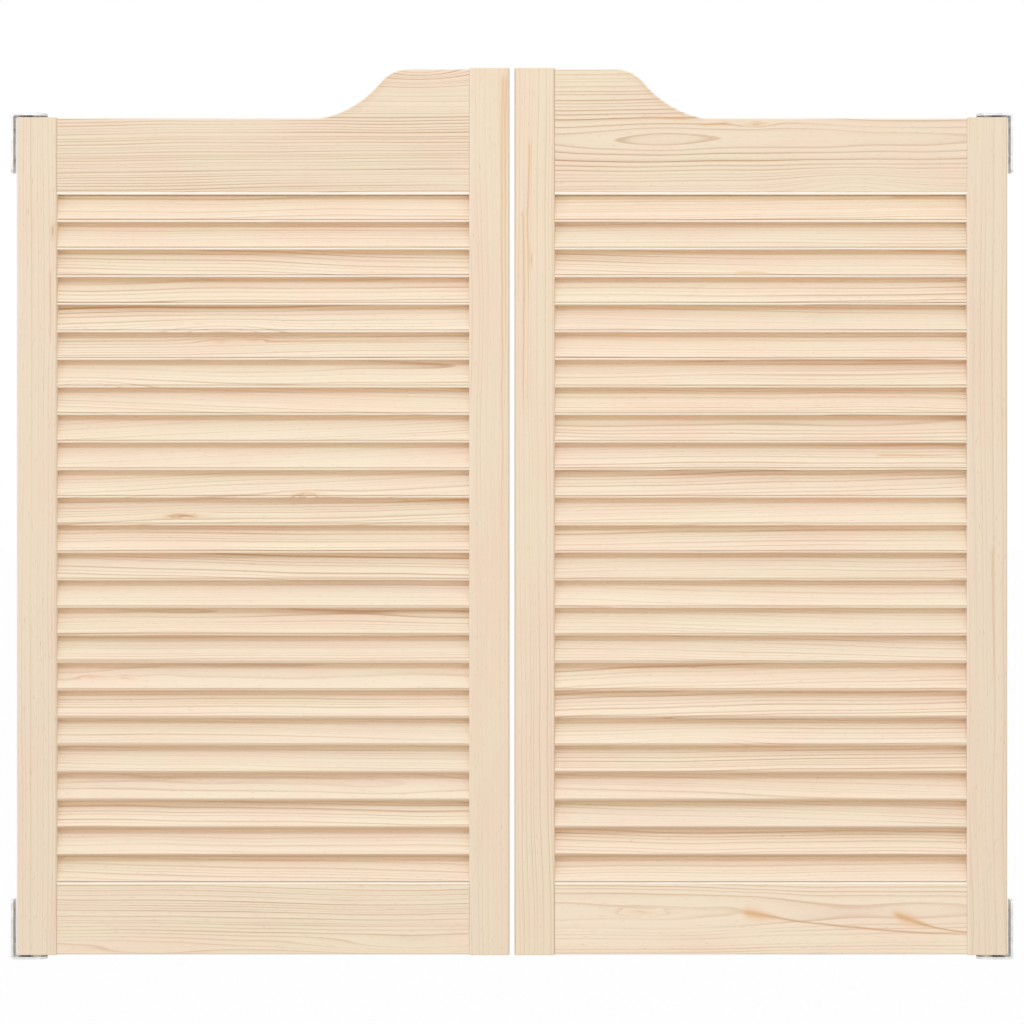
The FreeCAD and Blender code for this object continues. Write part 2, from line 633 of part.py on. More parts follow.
def spindle():
    """Riveted into the bottom bracket, countersunk head level with its underside."""
    radius = "Sizes.spindle_diameter / 2"
    head_depth = f"((Sizes.rivet_head - Sizes.spindle_diameter) / 2)"
    end = f"({FOOT_Z} + Sizes.spindle_reach)"
    body = turned("left_spindle", [
        ("0", "0"), ("Sizes.rivet_head / 2", "0"), (radius, head_depth),
        (radius, f"{end} - Sizes.spindle_chamfer"),
        (f"{radius} - Sizes.spindle_chamfer", end), ("0", end)])
    eye = new_sketch(body, "spring_eye", "YZ_Plane", "-Sizes.spindle_diameter")
    circle(eye, "0", f"{FOOT_Z} + {TANG_TOP}", "Sizes.torsion_wire / 2 + Sizes.running_fit")
    pocket(body, eye, "2 * Sizes.spindle_diameter", True)
    return place(body, AXIS_X, "0")


def top_bush():
    """Nylon bush in the top bracket, flange towards the stile."""
    bore = "Sizes.pin_diameter / 2 + Sizes.running_fit"
    return place(turned("left_top_bush", [
        (bore, "-Sizes.top_bush_gauge"), ("Sizes.top_bush_flange / 2", "-Sizes.top_bush_gauge"),
        ("Sizes.top_bush_flange / 2", "0"), ("Sizes.top_bush_diameter / 2", "0"),
        ("Sizes.top_bush_diameter / 2", "Sizes.bracket_gauge"),
        (bore, "Sizes.bracket_gauge")]), AXIS_X, f"{HEAD_Z} + Sizes.arm_gap")


# ---- pivots inside the hinge stile ----

def end_plate(label, top_face, hole_radius, height):
    """Plate let in flush; its countersinks open upwards or, under the stile, downwards."""
    body = new_body(label)
    face = new_sketch(body, f"{label}_face", "XY_Plane")
    plate_outline(face, "0")
    pad(body, face, "Sizes.plate_gauge")
    centre = new_sketch(body, f"{label}_centre", "XY_Plane")
    circle(centre, "0", "0", hole_radius)
    pocket(body, centre, "Sizes.plate_gauge", True)
    holes = new_sketch(body, f"{label}_screw_holes", "XY_Plane",
                       "Sizes.plate_gauge" if top_face else "0")
    for side in ("-", ""):
        circle(holes, f"{side}Sizes.screw_spacing / 2", "0", "Sizes.screw_diameter / 2")
    countersink(body, holes, "Sizes.screw_diameter + 2 * Sizes.seat_fit",
                "Sizes.screw_head + 2 * Sizes.seat_fit", not top_face)
    return place(body, AXIS_X, height)


def plate_screws(label, flip, height):
    """Two slotted wood screws, heads level with the plate, points into the stile."""
    body = new_body(label)
    shaft = "Sizes.screw_diameter / 2"
    centre = "Sizes.screw_spacing / 2"
    head_depth = "((Sizes.screw_head - Sizes.screw_diameter) / 2)"
    profile = new_sketch(body, f"{label}_profile", "XZ_Plane")
    outline(profile, [
        (centre, "0"), (f"({centre} + Sizes.screw_head / 2)", "0"),
        (f"({centre} + {shaft})", f"{flip}{head_depth}"),
        (f"({centre} + {shaft})", f"{flip}(Sizes.screw_length - Sizes.screw_point)"),
        (centre, f"{flip}Sizes.screw_length")])
    turning = body.newObject("PartDesign::Revolution", f"{label}_turning")
    turning.Profile = profile
    turning.ReferenceAxis = (profile, ["Edge5"])
    turning.Angle = 360
    slot = new_sketch(body, f"{label}_slot", "XZ_Plane", "-Sizes.screw_head / 2")
    outline(slot, [
        (f"({centre} - Sizes.screw_slot / 2)", "0"), (f"({centre} + Sizes.screw_slot / 2)", "0"),
        (f"({centre} + Sizes.screw_slot / 2)", f"{flip}Sizes.screw_slot"),
        (f"({centre} - Sizes.screw_slot / 2)", f"{flip}Sizes.screw_slot")])
    cut = pocket(body, slot, "Sizes.screw_head", True)
    pair = body.newObject("PartDesign::Mirrored", f"{label}_pair")
    pair.Originals = [turning, cut]
    pair.MirrorPlane = (origin_feature(body, "YZ_Plane"), [""])
    body.Tip = pair
    return place(body, AXIS_X, height)


def pivot_bush():
    """Carries the leaf: its flange stands on the arm, its neck fills the end of the barrel."""
    bore = "Sizes.spindle_diameter / 2 + Sizes.running_fit"
    flange = "Sizes.bush_flange / 2"
    neck = "Sizes.bush_diameter / 2"
    foot = "(Sizes.thrust_fit - Sizes.arm_gap)"
    return place(turned("left_pivot_bush", [
        (bore, foot), (flange, foot), (flange, "0"), (neck, "0"),
        (neck, "Sizes.bush_depth"), (bore, "Sizes.bush_depth")]), AXIS_X, FOOT_Z)


def spring_barrel():
    """Tube over the torsion spring, with a hole in its wall for the end of the spring."""
    wall = "Sizes.barrel_diameter / 2"
    body = turned("left_spring_barrel", [
        (BARREL_BORE, "Sizes.plate_gauge"), (wall, "Sizes.plate_gauge"),
        (wall, BARREL_END), (BARREL_BORE, BARREL_END)])
    eye = new_sketch(body, "barrel_eye", "YZ_Plane", "0")
    circle(eye, "0", TANG_LOW, "Sizes.torsion_wire / 2 + Sizes.seat_fit")
    pocket(body, eye, "Sizes.barrel_diameter", True)
    return place(body, AXIS_X, FOOT_Z)


def barrel_cap():
    spigot = f"({BARREL_BORE} - Sizes.seat_fit)"
    return place(turned("left_barrel_cap", [
        ("0", f"{BARREL_END} - Sizes.cap_spigot"), (spigot, f"{BARREL_END} - Sizes.cap_spigot"),
        (spigot, BARREL_END), ("Sizes.barrel_diameter / 2", BARREL_END),
        ("Sizes.barrel_diameter / 2", f"{BARREL_END} + Sizes.cap_gauge"),
        ("0", f"{BARREL_END} + Sizes.cap_gauge")]), AXIS_X, FOOT_Z)


def coil(name, wire, diameter, pitch, turns, base):
    """Round wire wound about Z, from a start on the +X side."""
    line = document.addObject("Part::Helix", f"{name}_line")
    line.setExpression("Radius", f"{diameter} / 2")
    line.setExpression("Pitch", pitch)
    line.setExpression("Height", f"{pitch} * {turns}")
    line.setExpression("Placement.Base.z", base)
    section = document.addObject("Part::Circle", f"{name}_section")
    section.setExpression("Radius", f"{wire} / 2")
    section.Placement.Rotation = FreeCAD.Rotation(FreeCAD.Vector(1, 0, 0), 90)
    section.setExpression("Placement.Base.x", f"{diameter} / 2")
    section.setExpression("Placement.Base.z", base)
    winding = document.addObject("Part::Sweep", f"{name}_winding")
    winding.Sections = [section]
    winding.Spine = (line, [])
    winding.Solid = True
    winding.Frenet = True
    return winding


def tang(name, wire, start, length, height):
    """Straight end of a spring along X, from start outwards."""
    end = document.addObject("Part::Cylinder", name)
    end.setExpression("Radius", f"{wire} / 2")
    end.setExpression("Height", length)
    end.Placement.Rotation = FreeCAD.Rotation(FreeCAD.Vector(0, 1, 0), 90)
    place(end, start, height)
    return end


def torsion_spring():
    """Winds up whichever way the leaf swings: held by the barrel below, the spindle above."""
    wire = "Sizes.torsion_wire"
    mean = "(Sizes.torsion_coil / 2)"
    winding = coil("torsion", wire, "Sizes.torsion_coil", "Sizes.torsion_pitch",
                   "Sizes.torsion_turns", TANG_LOW)
    outwards = f"Sizes.barrel_diameter / 2 - {mean} - Sizes.tang_end_gap"
    to_barrel = tang("torsion_foot", wire, mean, outwards, TANG_LOW)
    through = f"({mean} + Sizes.spindle_diameter / 2)"
    to_spindle = tang("torsion_head", wire, f"{mean} - {through}", through, TANG_TOP)
    spring = document.addObject("Part::MultiFuse", "left_torsion_spring")
    spring.Shapes = [winding, to_barrel, to_spindle]
    return place(spring, AXIS_X, FOOT_Z)


def top_sleeve():
    """Closed cup under the top plate, for the pin and its spring."""
    wall = "Sizes.sleeve_diameter / 2"
    bore = "Sizes.sleeve_bore / 2"
    mouth = "-Sizes.plate_gauge"
    end = "(Sizes.plate_gauge + Sizes.sleeve_length)"
    return place(turned("left_top_sleeve", [
        ("0", f"-{end}"), (wall, f"-{end}"), (wall, mouth), (bore, mouth),
        (bore, f"Sizes.sleeve_base - {end}"), ("0", f"Sizes.sleeve_base - {end}")]),
        AXIS_X, HEAD_Z)


def top_pivot_pin():
    """Rises into the top bush; pressed down, it lets the leaf out of its brackets."""
    shaft = "Sizes.pin_diameter / 2"
    tip = "(Sizes.arm_gap + Sizes.bracket_gauge + Sizes.pin_proud)"
    shoulder_z = "(Sizes.plate_gauge + Sizes.thrust_fit)"
    seat = f"({shoulder_z} + Sizes.collar_height)"
    stem = f"({seat} + Sizes.stem_length)"
    collar = "Sizes.collar_diameter / 2"
    return place(turned("left_top_pivot_pin", [
        ("0", f"-{stem}"), ("Sizes.stem_diameter / 2", f"-{stem}"),
        ("Sizes.stem_diameter / 2", f"-{seat}"), (collar, f"-{seat}"),
        (collar, f"-{shoulder_z}"), (shaft, f"-{shoulder_z}"),
        (shaft, f"{tip} - Sizes.pin_proud"), (f"{shaft} - Sizes.pin_proud", tip),
        ("0", tip)]), AXIS_X, HEAD_Z)


def pin_spring():
    """Stands in the cup and lifts the collar of the pin against the top plate."""
    low = "(Sizes.plate_gauge + Sizes.sleeve_length - Sizes.sleeve_base)"
    high = "(Sizes.plate_gauge + Sizes.thrust_fit + Sizes.collar_height)"
    ends = "(Sizes.lift_wire / 2 + Sizes.lift_seat)"
    pitch = f"(({low} - {high} - 2 * {ends}) / Sizes.lift_turns)"
    spring = coil("pin_spring", "Sizes.lift_wire", "Sizes.lift_coil", pitch,
                  "Sizes.lift_turns", f"{ends} - {low}")
    spring.Label = "left_pin_spring"
    return place(spring, AXIS_X, HEAD_Z)


# ---- the assembly ----

def left_side():
    groups = int(value("Sizes.slat_groups"))
    pieces = [hinge_stile(), meeting_stile(), top_rail(), bottom_rail(), rail_dowels()]
    pieces += [louvre_group(number, groups) for number in range(1, groups + 1)]
    pieces += [
        bottom_bracket(), spindle(), top_bracket(), top_bush(),
        end_plate("left_bottom_plate", False, "Sizes.bush_diameter / 2 + Sizes.seat_fit", FOOT_Z),
        plate_screws("left_bottom_plate_screws", "", FOOT_Z),
        pivot_bush(), spring_barrel(), barrel_cap(), torsion_spring(),
        end_plate("left_top_plate", True, "Sizes.pin_diameter / 2 + Sizes.running_fit",
                  f"{HEAD_Z} - Sizes.plate_gauge"),
        plate_screws("left_top_plate_screws", "-", HEAD_Z),
        top_sleeve(), top_pivot_pin(), pin_spring()]
    return pieces


def mirrored(piece):
    copy = document.addObject("Part::Mirroring", piece.Label.replace("left_", "right_", 1))
    copy.Source = piece
    copy.Base = FreeCAD.Vector(0, 0, 0)
    copy.Normal = FreeCAD.Vector(1, 0, 0)
    return copy


def check(pieces):
    """Stop before anything is written if a feature failed or cut nothing."""
    for item in document.Objects:
        if {"Invalid", "Error"} & set(item.State):
            raise RuntimeError(f"{item.Label} failed: {item.State}")
        if item.TypeId in ("PartDesign::Pocket", "PartDesign::Hole"):
            if item.Shape.Volume > item.BaseFeature.Shape.Volume - 1e-3:
                raise RuntimeError(f"{item.Label} cuts nothing")
    for piece in pieces:
        if piece.Shape.isNull() or not piece.Shape.isValid() or not piece.Shape.Solids:
            raise RuntimeError(f"{piece.Label} is no valid solid")


left_pieces = left_side()
document.recompute()
right_pieces = [mirrored(piece) for piece in left_pieces]
document.recompute()
all_pieces = left_pieces + right_pieces
check(all_pieces)

os.makedirs("parts", exist_ok=True)
for piece in all_pieces:
    piece.Shape.exportStep(f"parts/{piece.Label}.step")
    print(f"{piece.Label}: {len(piece.Shape.Solids)} solid(s), {piece.Shape.Volume / 1000:.2f} cm3")
print(f"{len(all_pieces)} pieces")
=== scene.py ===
import math
import random

import bpy
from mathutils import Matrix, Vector


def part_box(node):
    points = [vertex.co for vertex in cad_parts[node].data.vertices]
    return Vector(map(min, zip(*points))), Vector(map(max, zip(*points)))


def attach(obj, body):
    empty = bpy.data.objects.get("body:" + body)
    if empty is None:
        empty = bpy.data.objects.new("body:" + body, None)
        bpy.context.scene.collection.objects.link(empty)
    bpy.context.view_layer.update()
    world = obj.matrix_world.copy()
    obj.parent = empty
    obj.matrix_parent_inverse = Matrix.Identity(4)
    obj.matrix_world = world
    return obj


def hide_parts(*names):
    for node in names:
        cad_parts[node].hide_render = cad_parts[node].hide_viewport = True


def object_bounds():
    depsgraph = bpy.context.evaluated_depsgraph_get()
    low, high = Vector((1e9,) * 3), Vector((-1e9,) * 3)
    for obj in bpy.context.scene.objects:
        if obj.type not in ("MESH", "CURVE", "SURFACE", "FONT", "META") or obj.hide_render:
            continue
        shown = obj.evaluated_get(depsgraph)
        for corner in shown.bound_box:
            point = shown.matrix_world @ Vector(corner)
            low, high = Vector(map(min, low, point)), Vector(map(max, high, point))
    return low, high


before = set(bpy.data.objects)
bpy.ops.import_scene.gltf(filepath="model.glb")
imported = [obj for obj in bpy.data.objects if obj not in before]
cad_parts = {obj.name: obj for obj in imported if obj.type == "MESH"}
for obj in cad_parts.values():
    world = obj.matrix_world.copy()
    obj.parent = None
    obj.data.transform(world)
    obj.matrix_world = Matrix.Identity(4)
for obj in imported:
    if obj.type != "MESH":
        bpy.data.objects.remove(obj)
cadLow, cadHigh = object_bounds()
mm = 0.001
print("frame loaded:", len(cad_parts), "solids")


# helpers for node trees
def addNode(tree, kind, values=None, **settings):
    made = tree.nodes.new(kind)
    for name, setting in settings.items():
        setattr(made, name, setting)
    for name, item in (values or {}).items():
        if isinstance(item, bpy.types.NodeSocket):
            tree.links.new(item, made.inputs[name])
        else:
            made.inputs[name].default_value = item
    return made


def joinTo(tree, sockets, results):
    for label, result in results.items():
        tree.links.new(result, sockets[label])


def calc(tree, operation, *terms, clamp=False):
    made = addNode(tree, "ShaderNodeMath", dict(enumerate(terms)), operation=operation,
                   use_clamp=clamp)
    return made.outputs[0]


def vectorCalc(tree, operation, *terms, output="Vector"):
    made = addNode(tree, "ShaderNodeVectorMath", dict(enumerate(terms)), operation=operation)
    return made.outputs[output]


def times(tree, first, second):
    return calc(tree, "MULTIPLY", first, second)


def minus(tree, first, second):
    return calc(tree, "SUBTRACT", first, second)


def timesPlus(tree, value, factor, start):
    return calc(tree, "MULTIPLY_ADD", value, factor, start)


def axesOf(tree, vector):
    return addNode(tree, "ShaderNodeSeparateXYZ", {0: vector}).outputs


def noise(tree, place, stretch, detail=2.0, roughness=0.5):
    # soft noise over place, squeezed along each axis by its own number of grains per metre
    squeezed = vectorCalc(tree, "MULTIPLY", place, stretch)
    made = addNode(tree, "ShaderNodeTexNoise", {
        "Vector": squeezed, "Scale": 1.0, "Detail": detail, "Roughness": roughness})
    return made.outputs["Fac"]


def sway(tree, place, stretch, detail=2.0):
    # the same noise about zero
    return minus(tree, noise(tree, place, stretch, detail), 0.5)


def bell(tree, offset):
    # one in the middle, falling away smoothly on both sides
    squared = times(tree, offset, offset)
    return calc(tree, "EXPONENT", times(tree, squared, -1.0))


def ramp(tree, factor, stops):
    made = addNode(tree, "ShaderNodeValToRGB", {"Fac": factor})
    while len(made.color_ramp.elements) < len(stops):
        made.color_ramp.elements.new(0.5)
    for element, (position, shade) in zip(made.color_ramp.elements, stops):
        element.position = position
        element.color = (shade, shade, shade, 1)
    return made.outputs["Color"]


def mapRange(tree, factor, fromLow, fromHigh, toLow=0.0, toHigh=1.0, smooth=False):
    made = addNode(tree, "ShaderNodeMapRange", {
        "Value": factor, "From Min": fromLow, "From Max": fromHigh,
        "To Min": toLow, "To Max": toHigh},
        interpolation_type="SMOOTHSTEP" if smooth else "LINEAR")
    return made.outputs["Result"]


def mixColour(tree, factor, first, second, blend="MIX"):
    made = addNode(tree, "ShaderNodeMix", {"Factor": factor, 6: first, 7: second},
                   data_type="RGBA", blend_type=blend)
    return made.outputs[2]


def tinted(tree, colour, mask, amount, tint):
    # colour drawn towards tint where the mask is high, at most by amount
    return mixColour(tree, times(tree, mask, amount), colour, tint)


def scaled(tree, colour, red, green, blue):
    factors = addNode(tree, "ShaderNodeCombineColor", {0: red, 1: green, 2: blue})
    return mixColour(tree, 1.0, colour, factors.outputs[0], "MULTIPLY")


def bump(tree, height, strength, distance):
    return addNode(tree, "ShaderNodeBump", {
        "Height": height, "Strength": strength, "Distance": distance}).outputs[0]


def fromMesh(tree, label, output="Vector"):
    return addNode(tree, "ShaderNodeAttribute", attribute_name=label).outputs[output]


def newGroup(name, takes, gives):
    # takes names each input and the value that it starts from; each output is one number
    tree = bpy.data.node_groups.new(name, "ShaderNodeTree")
    for label, start in takes.items():
        kind = "NodeSocketVector" if isinstance(start, tuple) else "NodeSocketFloat"
        socket = tree.interface.new_socket(label, in_out="INPUT", socket_type=kind)
        socket.default_value = start
    for label in gives:
        tree.interface.new_socket(label, in_out="OUTPUT", socket_type="NodeSocketFloat")
    inside = tree.nodes.new("NodeGroupInput").outputs
    return tree, inside, tree.nodes.new("NodeGroupOutput").inputs


def placeGroup(tree, group, values):
    return addNode(tree, "ShaderNodeGroup", values, node_tree=group).outputs


def paint(red, green, blue):
    # a screen colour, 0 to 255, as the light that it stands for
    def light(level):
        level /= 255
        return level / 12.92 if level <= 0.04045 else ((level + 0.055) / 1.055) ** 2.4
    return light(red), light(green), light(blue), 1.0


# groups shared by the materials; in their looks, three numbers together are noise grains per
# metre: along the board, across it and through it
markLook = {"ripple": (60, 200, 200), "smallest": 0.01 * mm, "heartFrom": 0.14, "heartTo": 0.3}


def buildBoardMark():
    # a spot in board coordinates that bends the rings round itself: Mark holds its place along
    # and across the board and its size, and a negative size bends them the other way
    look = markLook
    tree, takes, gives = newGroup("boardMark", {
        "Place": (0, 0, 0), "Mark": (0, 0, 0), "Stretch": 7.0, "Push": 1.5, "Ripple": 0.004},
        ("Shift", "Stain", "Heart"))
    spot = axesOf(tree, takes["Place"])
    mark = axesOf(tree, takes["Mark"])
    size = calc(tree, "MAXIMUM", calc(tree, "ABSOLUTE", mark["Z"]), look["smallest"])
    across = minus(tree, spot["Y"], mark["Y"])
    ripple = sway(tree, takes["Place"], look["ripple"])
    across = timesPlus(tree, ripple, takes["Ripple"], across)
    across = calc(tree, "DIVIDE", across, size)
    along = minus(tree, spot["X"], mark["X"])
    along = calc(tree, "DIVIDE", along, times(tree, size, takes["Stretch"]))
    reach = timesPlus(tree, across, across, times(tree, along, along))
    stain = calc(tree, "EXPONENT", times(tree, reach, -1.0))
    push = times(tree, mark["Z"], takes["Push"])
    heart = mapRange(tree, calc(tree, "SQRT", reach), look["heartFrom"], look["heartTo"],
                     1.0, 0.0, smooth=True)
    joinTo(tree, gives, {"Shift": times(tree, stain, push),
                         "Stain": calc(tree, "POWER", stain, 2.0), "Heart": heart})
    return tree


# levelling, head and tail count only where the streak bows
streakLook = {"wander": (14, 40, 40), "wanderBy": 4 * mm, "width": 1.9 * mm,
              "narrowing": 1.4 * mm, "narrowest": 0.4 * mm, "startOver": 12 * mm, "endFrom": 0.7,
              "coreSharpness": 5.0, "levelling": 0.5, "headAt": 16 * mm, "headHalf": 18 * mm,
              "headWidth": 4.8 * mm, "tailWidth": 1 * mm, "tailFrom": 20 * mm,
              "tailTo": 60 * mm, "tailMask": 0.6, "tailCore": 0.9}


def buildResinStreak():
    # a tapering streak of resin: Streak holds its place along and across the board and how far
    # it runs, Lean is its slope; with Bow it levels out and has a broad head and a thin dark tail
    look = streakLook
    tree, takes, gives = newGroup("resinStreak", {
        "Place": (0, 0, 0), "Streak": (0, 0, 0), "Lean": 0.0, "Bow": 0.0}, ("Mask", "Core"))
    spot = axesOf(tree, takes["Place"])
    streak = axesOf(tree, takes["Streak"])
    gone = minus(tree, spot["X"], streak["X"])
    far = calc(tree, "ABSOLUTE", gone)
    run = calc(tree, "DIVIDE", gone, streak["Z"])

    # where its middle line lies
    level = times(tree, times(tree, run, takes["Bow"]), -look["levelling"])
    drop = times(tree, calc(tree, "ADD", level, 1.0), takes["Lean"])
    middle = timesPlus(tree, gone, drop, streak["Y"])
    wander = sway(tree, takes["Place"], look["wander"])
    middle = timesPlus(tree, wander, look["wanderBy"], middle)

    # how wide it is
    fromHead = calc(tree, "DIVIDE", minus(tree, far, look["headAt"]), look["headHalf"])
    headed = timesPlus(tree, bell(tree, fromHead), look["headWidth"], look["tailWidth"])
    plain = timesPlus(tree, run, -look["narrowing"], look["width"])
    plain = calc(tree, "MAXIMUM", plain, look["narrowest"])
    wide = mapRange(tree, takes["Bow"], 0.0, 1.0, plain, headed)
    fade = bell(tree, calc(tree, "DIVIDE", minus(tree, spot["Y"], middle), wide))

    # it starts and ends softly, and runs one way only
    inFrom = times(tree, run, calc(tree, "ABSOLUTE", streak["Z"]))
    window = times(tree, mapRange(tree, inFrom, 0.0, look["startOver"], smooth=True),
                   mapRange(tree, run, look["endFrom"], 1.0, 1.0, 0.0, smooth=True))
    mask = times(tree, fade, window)
    tail = mapRange(tree, far, look["tailFrom"], look["tailTo"], smooth=True)
    tail = times(tree, tail, takes["Bow"])
    core = times(tree, calc(tree, "POWER", fade, look["coreSharpness"]), window)
    core = timesPlus(tree, times(tree, mask, tail), look["tailCore"], core)
    paler = mapRange(tree, tail, 0.0, 1.0, 1.0, look["tailMask"])
    joinTo(tree, gives, {"Mask": times(tree, mask, paler), "Core": core})
    return tree


# spacing is in grains per ring, and blushPlace is a shift in metres
grainLook = {"bend": (3.2, 9, 9), "bendBy": 4, "quiver": (8, 34, 34), "spacing": (0.4, 1, 1),
             "spacingBy": 2.6, "faintest": 0.3, "patches": (3, 30, 30),
             "patchNoise": (0.34, 0.66), "patchShare": (0.4, 1.4), "tone": (4, 46, 46),
             "blush": (8, 26, 26), "blushPlace": (7.1, 2.3, 4.4), "fibre": (16, 1100, 1100),
             "duct": (130, 1500, 1500), "ductNoise": (0.74, 0.82), "fibreHeight": 0.35,
             "lateHeight": 0.8, "ductHeight": -0.6}

# one year's ring from its pale start to its dark end: how far through it, and how dark
ringProfile = [(0.0, 0.0), (0.5, 0.04), (0.76, 0.26), (0.88, 1.0), (0.94, 0.9), (0.99, 0.0)]


def buildPineGrain():
    # growth rings about the pith, which runs along X of the board coordinates
    look = grainLook
    tree, takes, gives = newGroup("pineGrain", {
        "Place": (0, 0, 0), "Ring Width": 0.004, "Taper": 0.01, "Wander": 0.005, "Shift": 0.0},
        ("Late Wood", "Tone", "Blush", "Fibre", "Duct", "Height"))
    place = takes["Place"]
    spot = axesOf(tree, place)
    flat = addNode(tree, "ShaderNodeCombineXYZ", {"Y": spot["Y"], "Z": spot["Z"]}).outputs[0]
    radius = vectorCalc(tree, "LENGTH", flat, output="Value")
    radius = timesPlus(tree, spot["X"], takes["Taper"], radius)
    bend = sway(tree, place, look["bend"], 1.0)
    bendBy = times(tree, takes["Wander"], look["bendBy"])
    radius = timesPlus(tree, bend, bendBy, radius)
    quiver = sway(tree, place, look["quiver"], 1.0)
    radius = timesPlus(tree, quiver, takes["Wander"], radius)
    radius = calc(tree, "ADD", radius, takes["Shift"])

    # rings of uneven width and strength
    rings = calc(tree, "DIVIDE", radius, takes["Ring Width"])
    line = addNode(tree, "ShaderNodeCombineXYZ", {"X": rings}).outputs[0]
    spacing = noise(tree, line, look["spacing"], 0.0)
    rings = timesPlus(tree, spacing, look["spacingBy"], rings)
    strength = addNode(tree, "ShaderNodeTexWhiteNoise", {"W": calc(tree, "FLOOR", rings)},
                       noise_dimensions="1D").outputs["Value"]
    strength = mapRange(tree, strength, 0, 1, look["faintest"], 1.0)
    late = times(tree, ramp(tree, calc(tree, "FRACT", rings), ringProfile), strength)
    patches = mapRange(tree, noise(tree, place, look["patches"]), *look["patchNoise"],
                       *look["patchShare"])
    late = calc(tree, "MULTIPLY", late, patches, clamp=True)

    blushPlace = vectorCalc(tree, "ADD", place, look["blushPlace"])
    fibre = noise(tree, place, look["fibre"], 2.0, 0.6)
    duct = mapRange(tree, noise(tree, place, look["duct"], 0.0), *look["ductNoise"])
    lateHeight = times(tree, late, look["lateHeight"])
    height = timesPlus(tree, fibre, look["fibreHeight"], lateHeight)
    height = timesPlus(tree, duct, look["ductHeight"], height)
    joinTo(tree, gives, {"Late Wood": late, "Tone": noise(tree, place, look["tone"]),
                         "Blush": noise(tree, blushPlace, look["blush"]),
                         "Fibre": fibre, "Duct": duct, "Height": height})
    return tree


arrisLook = {"patches": (30, 300, 300), "patchNoise": (0.3, 0.7), "patchShare": (0.7, 1.1)}


def buildArrisWearAndHighlight():
    # paler, smoother wood along the long edges, partly rubbed-down wear and partly painted
    # highlight, broken up by the fibre
    look = arrisLook
    tree, takes, gives = newGroup("arrisWearAndHighlight", {
        "Place": (0, 0, 0), "Arris": 0.0, "Amount": 0.5}, ("Mask",))
    uneven = mapRange(tree, noise(tree, takes["Place"], look["patches"], 3.0),
                      *look["patchNoise"], *look["patchShare"])
    mask = times(tree, takes["Arris"], uneven)
    mask = calc(tree, "MULTIPLY", mask, takes["Amount"], clamp=True)
    joinTo(tree, gives, {"Mask": mask})
    return tree


pitLook = {"perMetre": 700.0, "edge": 0.16}


def buildMetalGrain():
    # drawn or plated metal: fine lines along one way, clouds and small pits
    tree, takes, gives = newGroup("metalGrain", {
        "Place": (0, 0, 0), "Stretch": (900, 900, 40), "Cloud Scale": 120.0},
        ("Lines", "Clouds", "Pits"))
    clouds = addNode(tree, "ShaderNodeTexNoise", {
        "Vector": takes["Place"], "Scale": takes["Cloud Scale"], "Detail": 3.0})
    pits = addNode(tree, "ShaderNodeTexVoronoi", {
        "Vector": takes["Place"], "Scale": pitLook["perMetre"]}).outputs["Distance"]
    pits = mapRange(tree, pits, 0.0, pitLook["edge"], 1.0, 0.0, smooth=True)
    joinTo(tree, gives, {"Lines": noise(tree, takes["Place"], takes["Stretch"], 3.0, 0.6),
                         "Clouds": clouds.outputs["Fac"], "Pits": pits})
    return tree


boardMark = buildBoardMark()
resinStreak = buildResinStreak()
pineGrain = buildPineGrain()
arrisWearAndHighlight = buildArrisWearAndHighlight()
metalGrain = buildMetalGrain()


def newMaterial(name, roughness, **settings):
    material = bpy.data.materials.new(name)
    material.use_nodes = True
    tree = material.node_tree
    shader = tree.nodes["Principled BSDF"]
    shader.inputs["Roughness"].default_value = roughness
    for label, setting in settings.items():
        shader.inputs[label].default_value = setting
    return material, tree, shader


# arris is partly sanded wear and partly painted highlight; the dark edge colour after it is
# painted shade on edges turned from the light, in creases and under noses; the last is a factor
# on each colour, painted warm shade where the slat above shades a slat's face
pineColours = {
    "pale": paint(238, 218, 194), "lateWood": paint(190, 150, 110), "blush": paint(239, 213, 189),
    "straw": paint(237, 220, 192), "stain": paint(230, 184, 134), "heart": paint(172, 126, 84),
    "arris": paint(254, 249, 238), "paintedShade": paint(192, 158, 122),
    "endGrain": paint(214, 184, 148), "paintedBandShade": (1.13, 1.06, 0.98, 1.0)}
pineLook = {"straw": (0.35, 0.65), "blush": (0.42, 0.7), "blushMost": 0.8, "fibre": (0.25, 0.75),
            "fibreShade": (0.972, 1.02), "duct": 0.35, "knotStain": 0.4, "knotRings": 0.8,
            "knotHeart": 0.2, "streakHeart": 0.4, "endGrain": 0.5, "rough": 0.5,
            "refraction": 1.42, "lateRough": -0.1, "fibreRough": 0.1, "arrisRough": -0.1,
            "bump": 0.35, "bumpDepth": 0.12 * mm}
knotBend = {"Stretch": 7.0, "Push": 1.2, "Ripple": 0.005}
swellBend = {"Push": 0.8, "Ripple": 0.0}


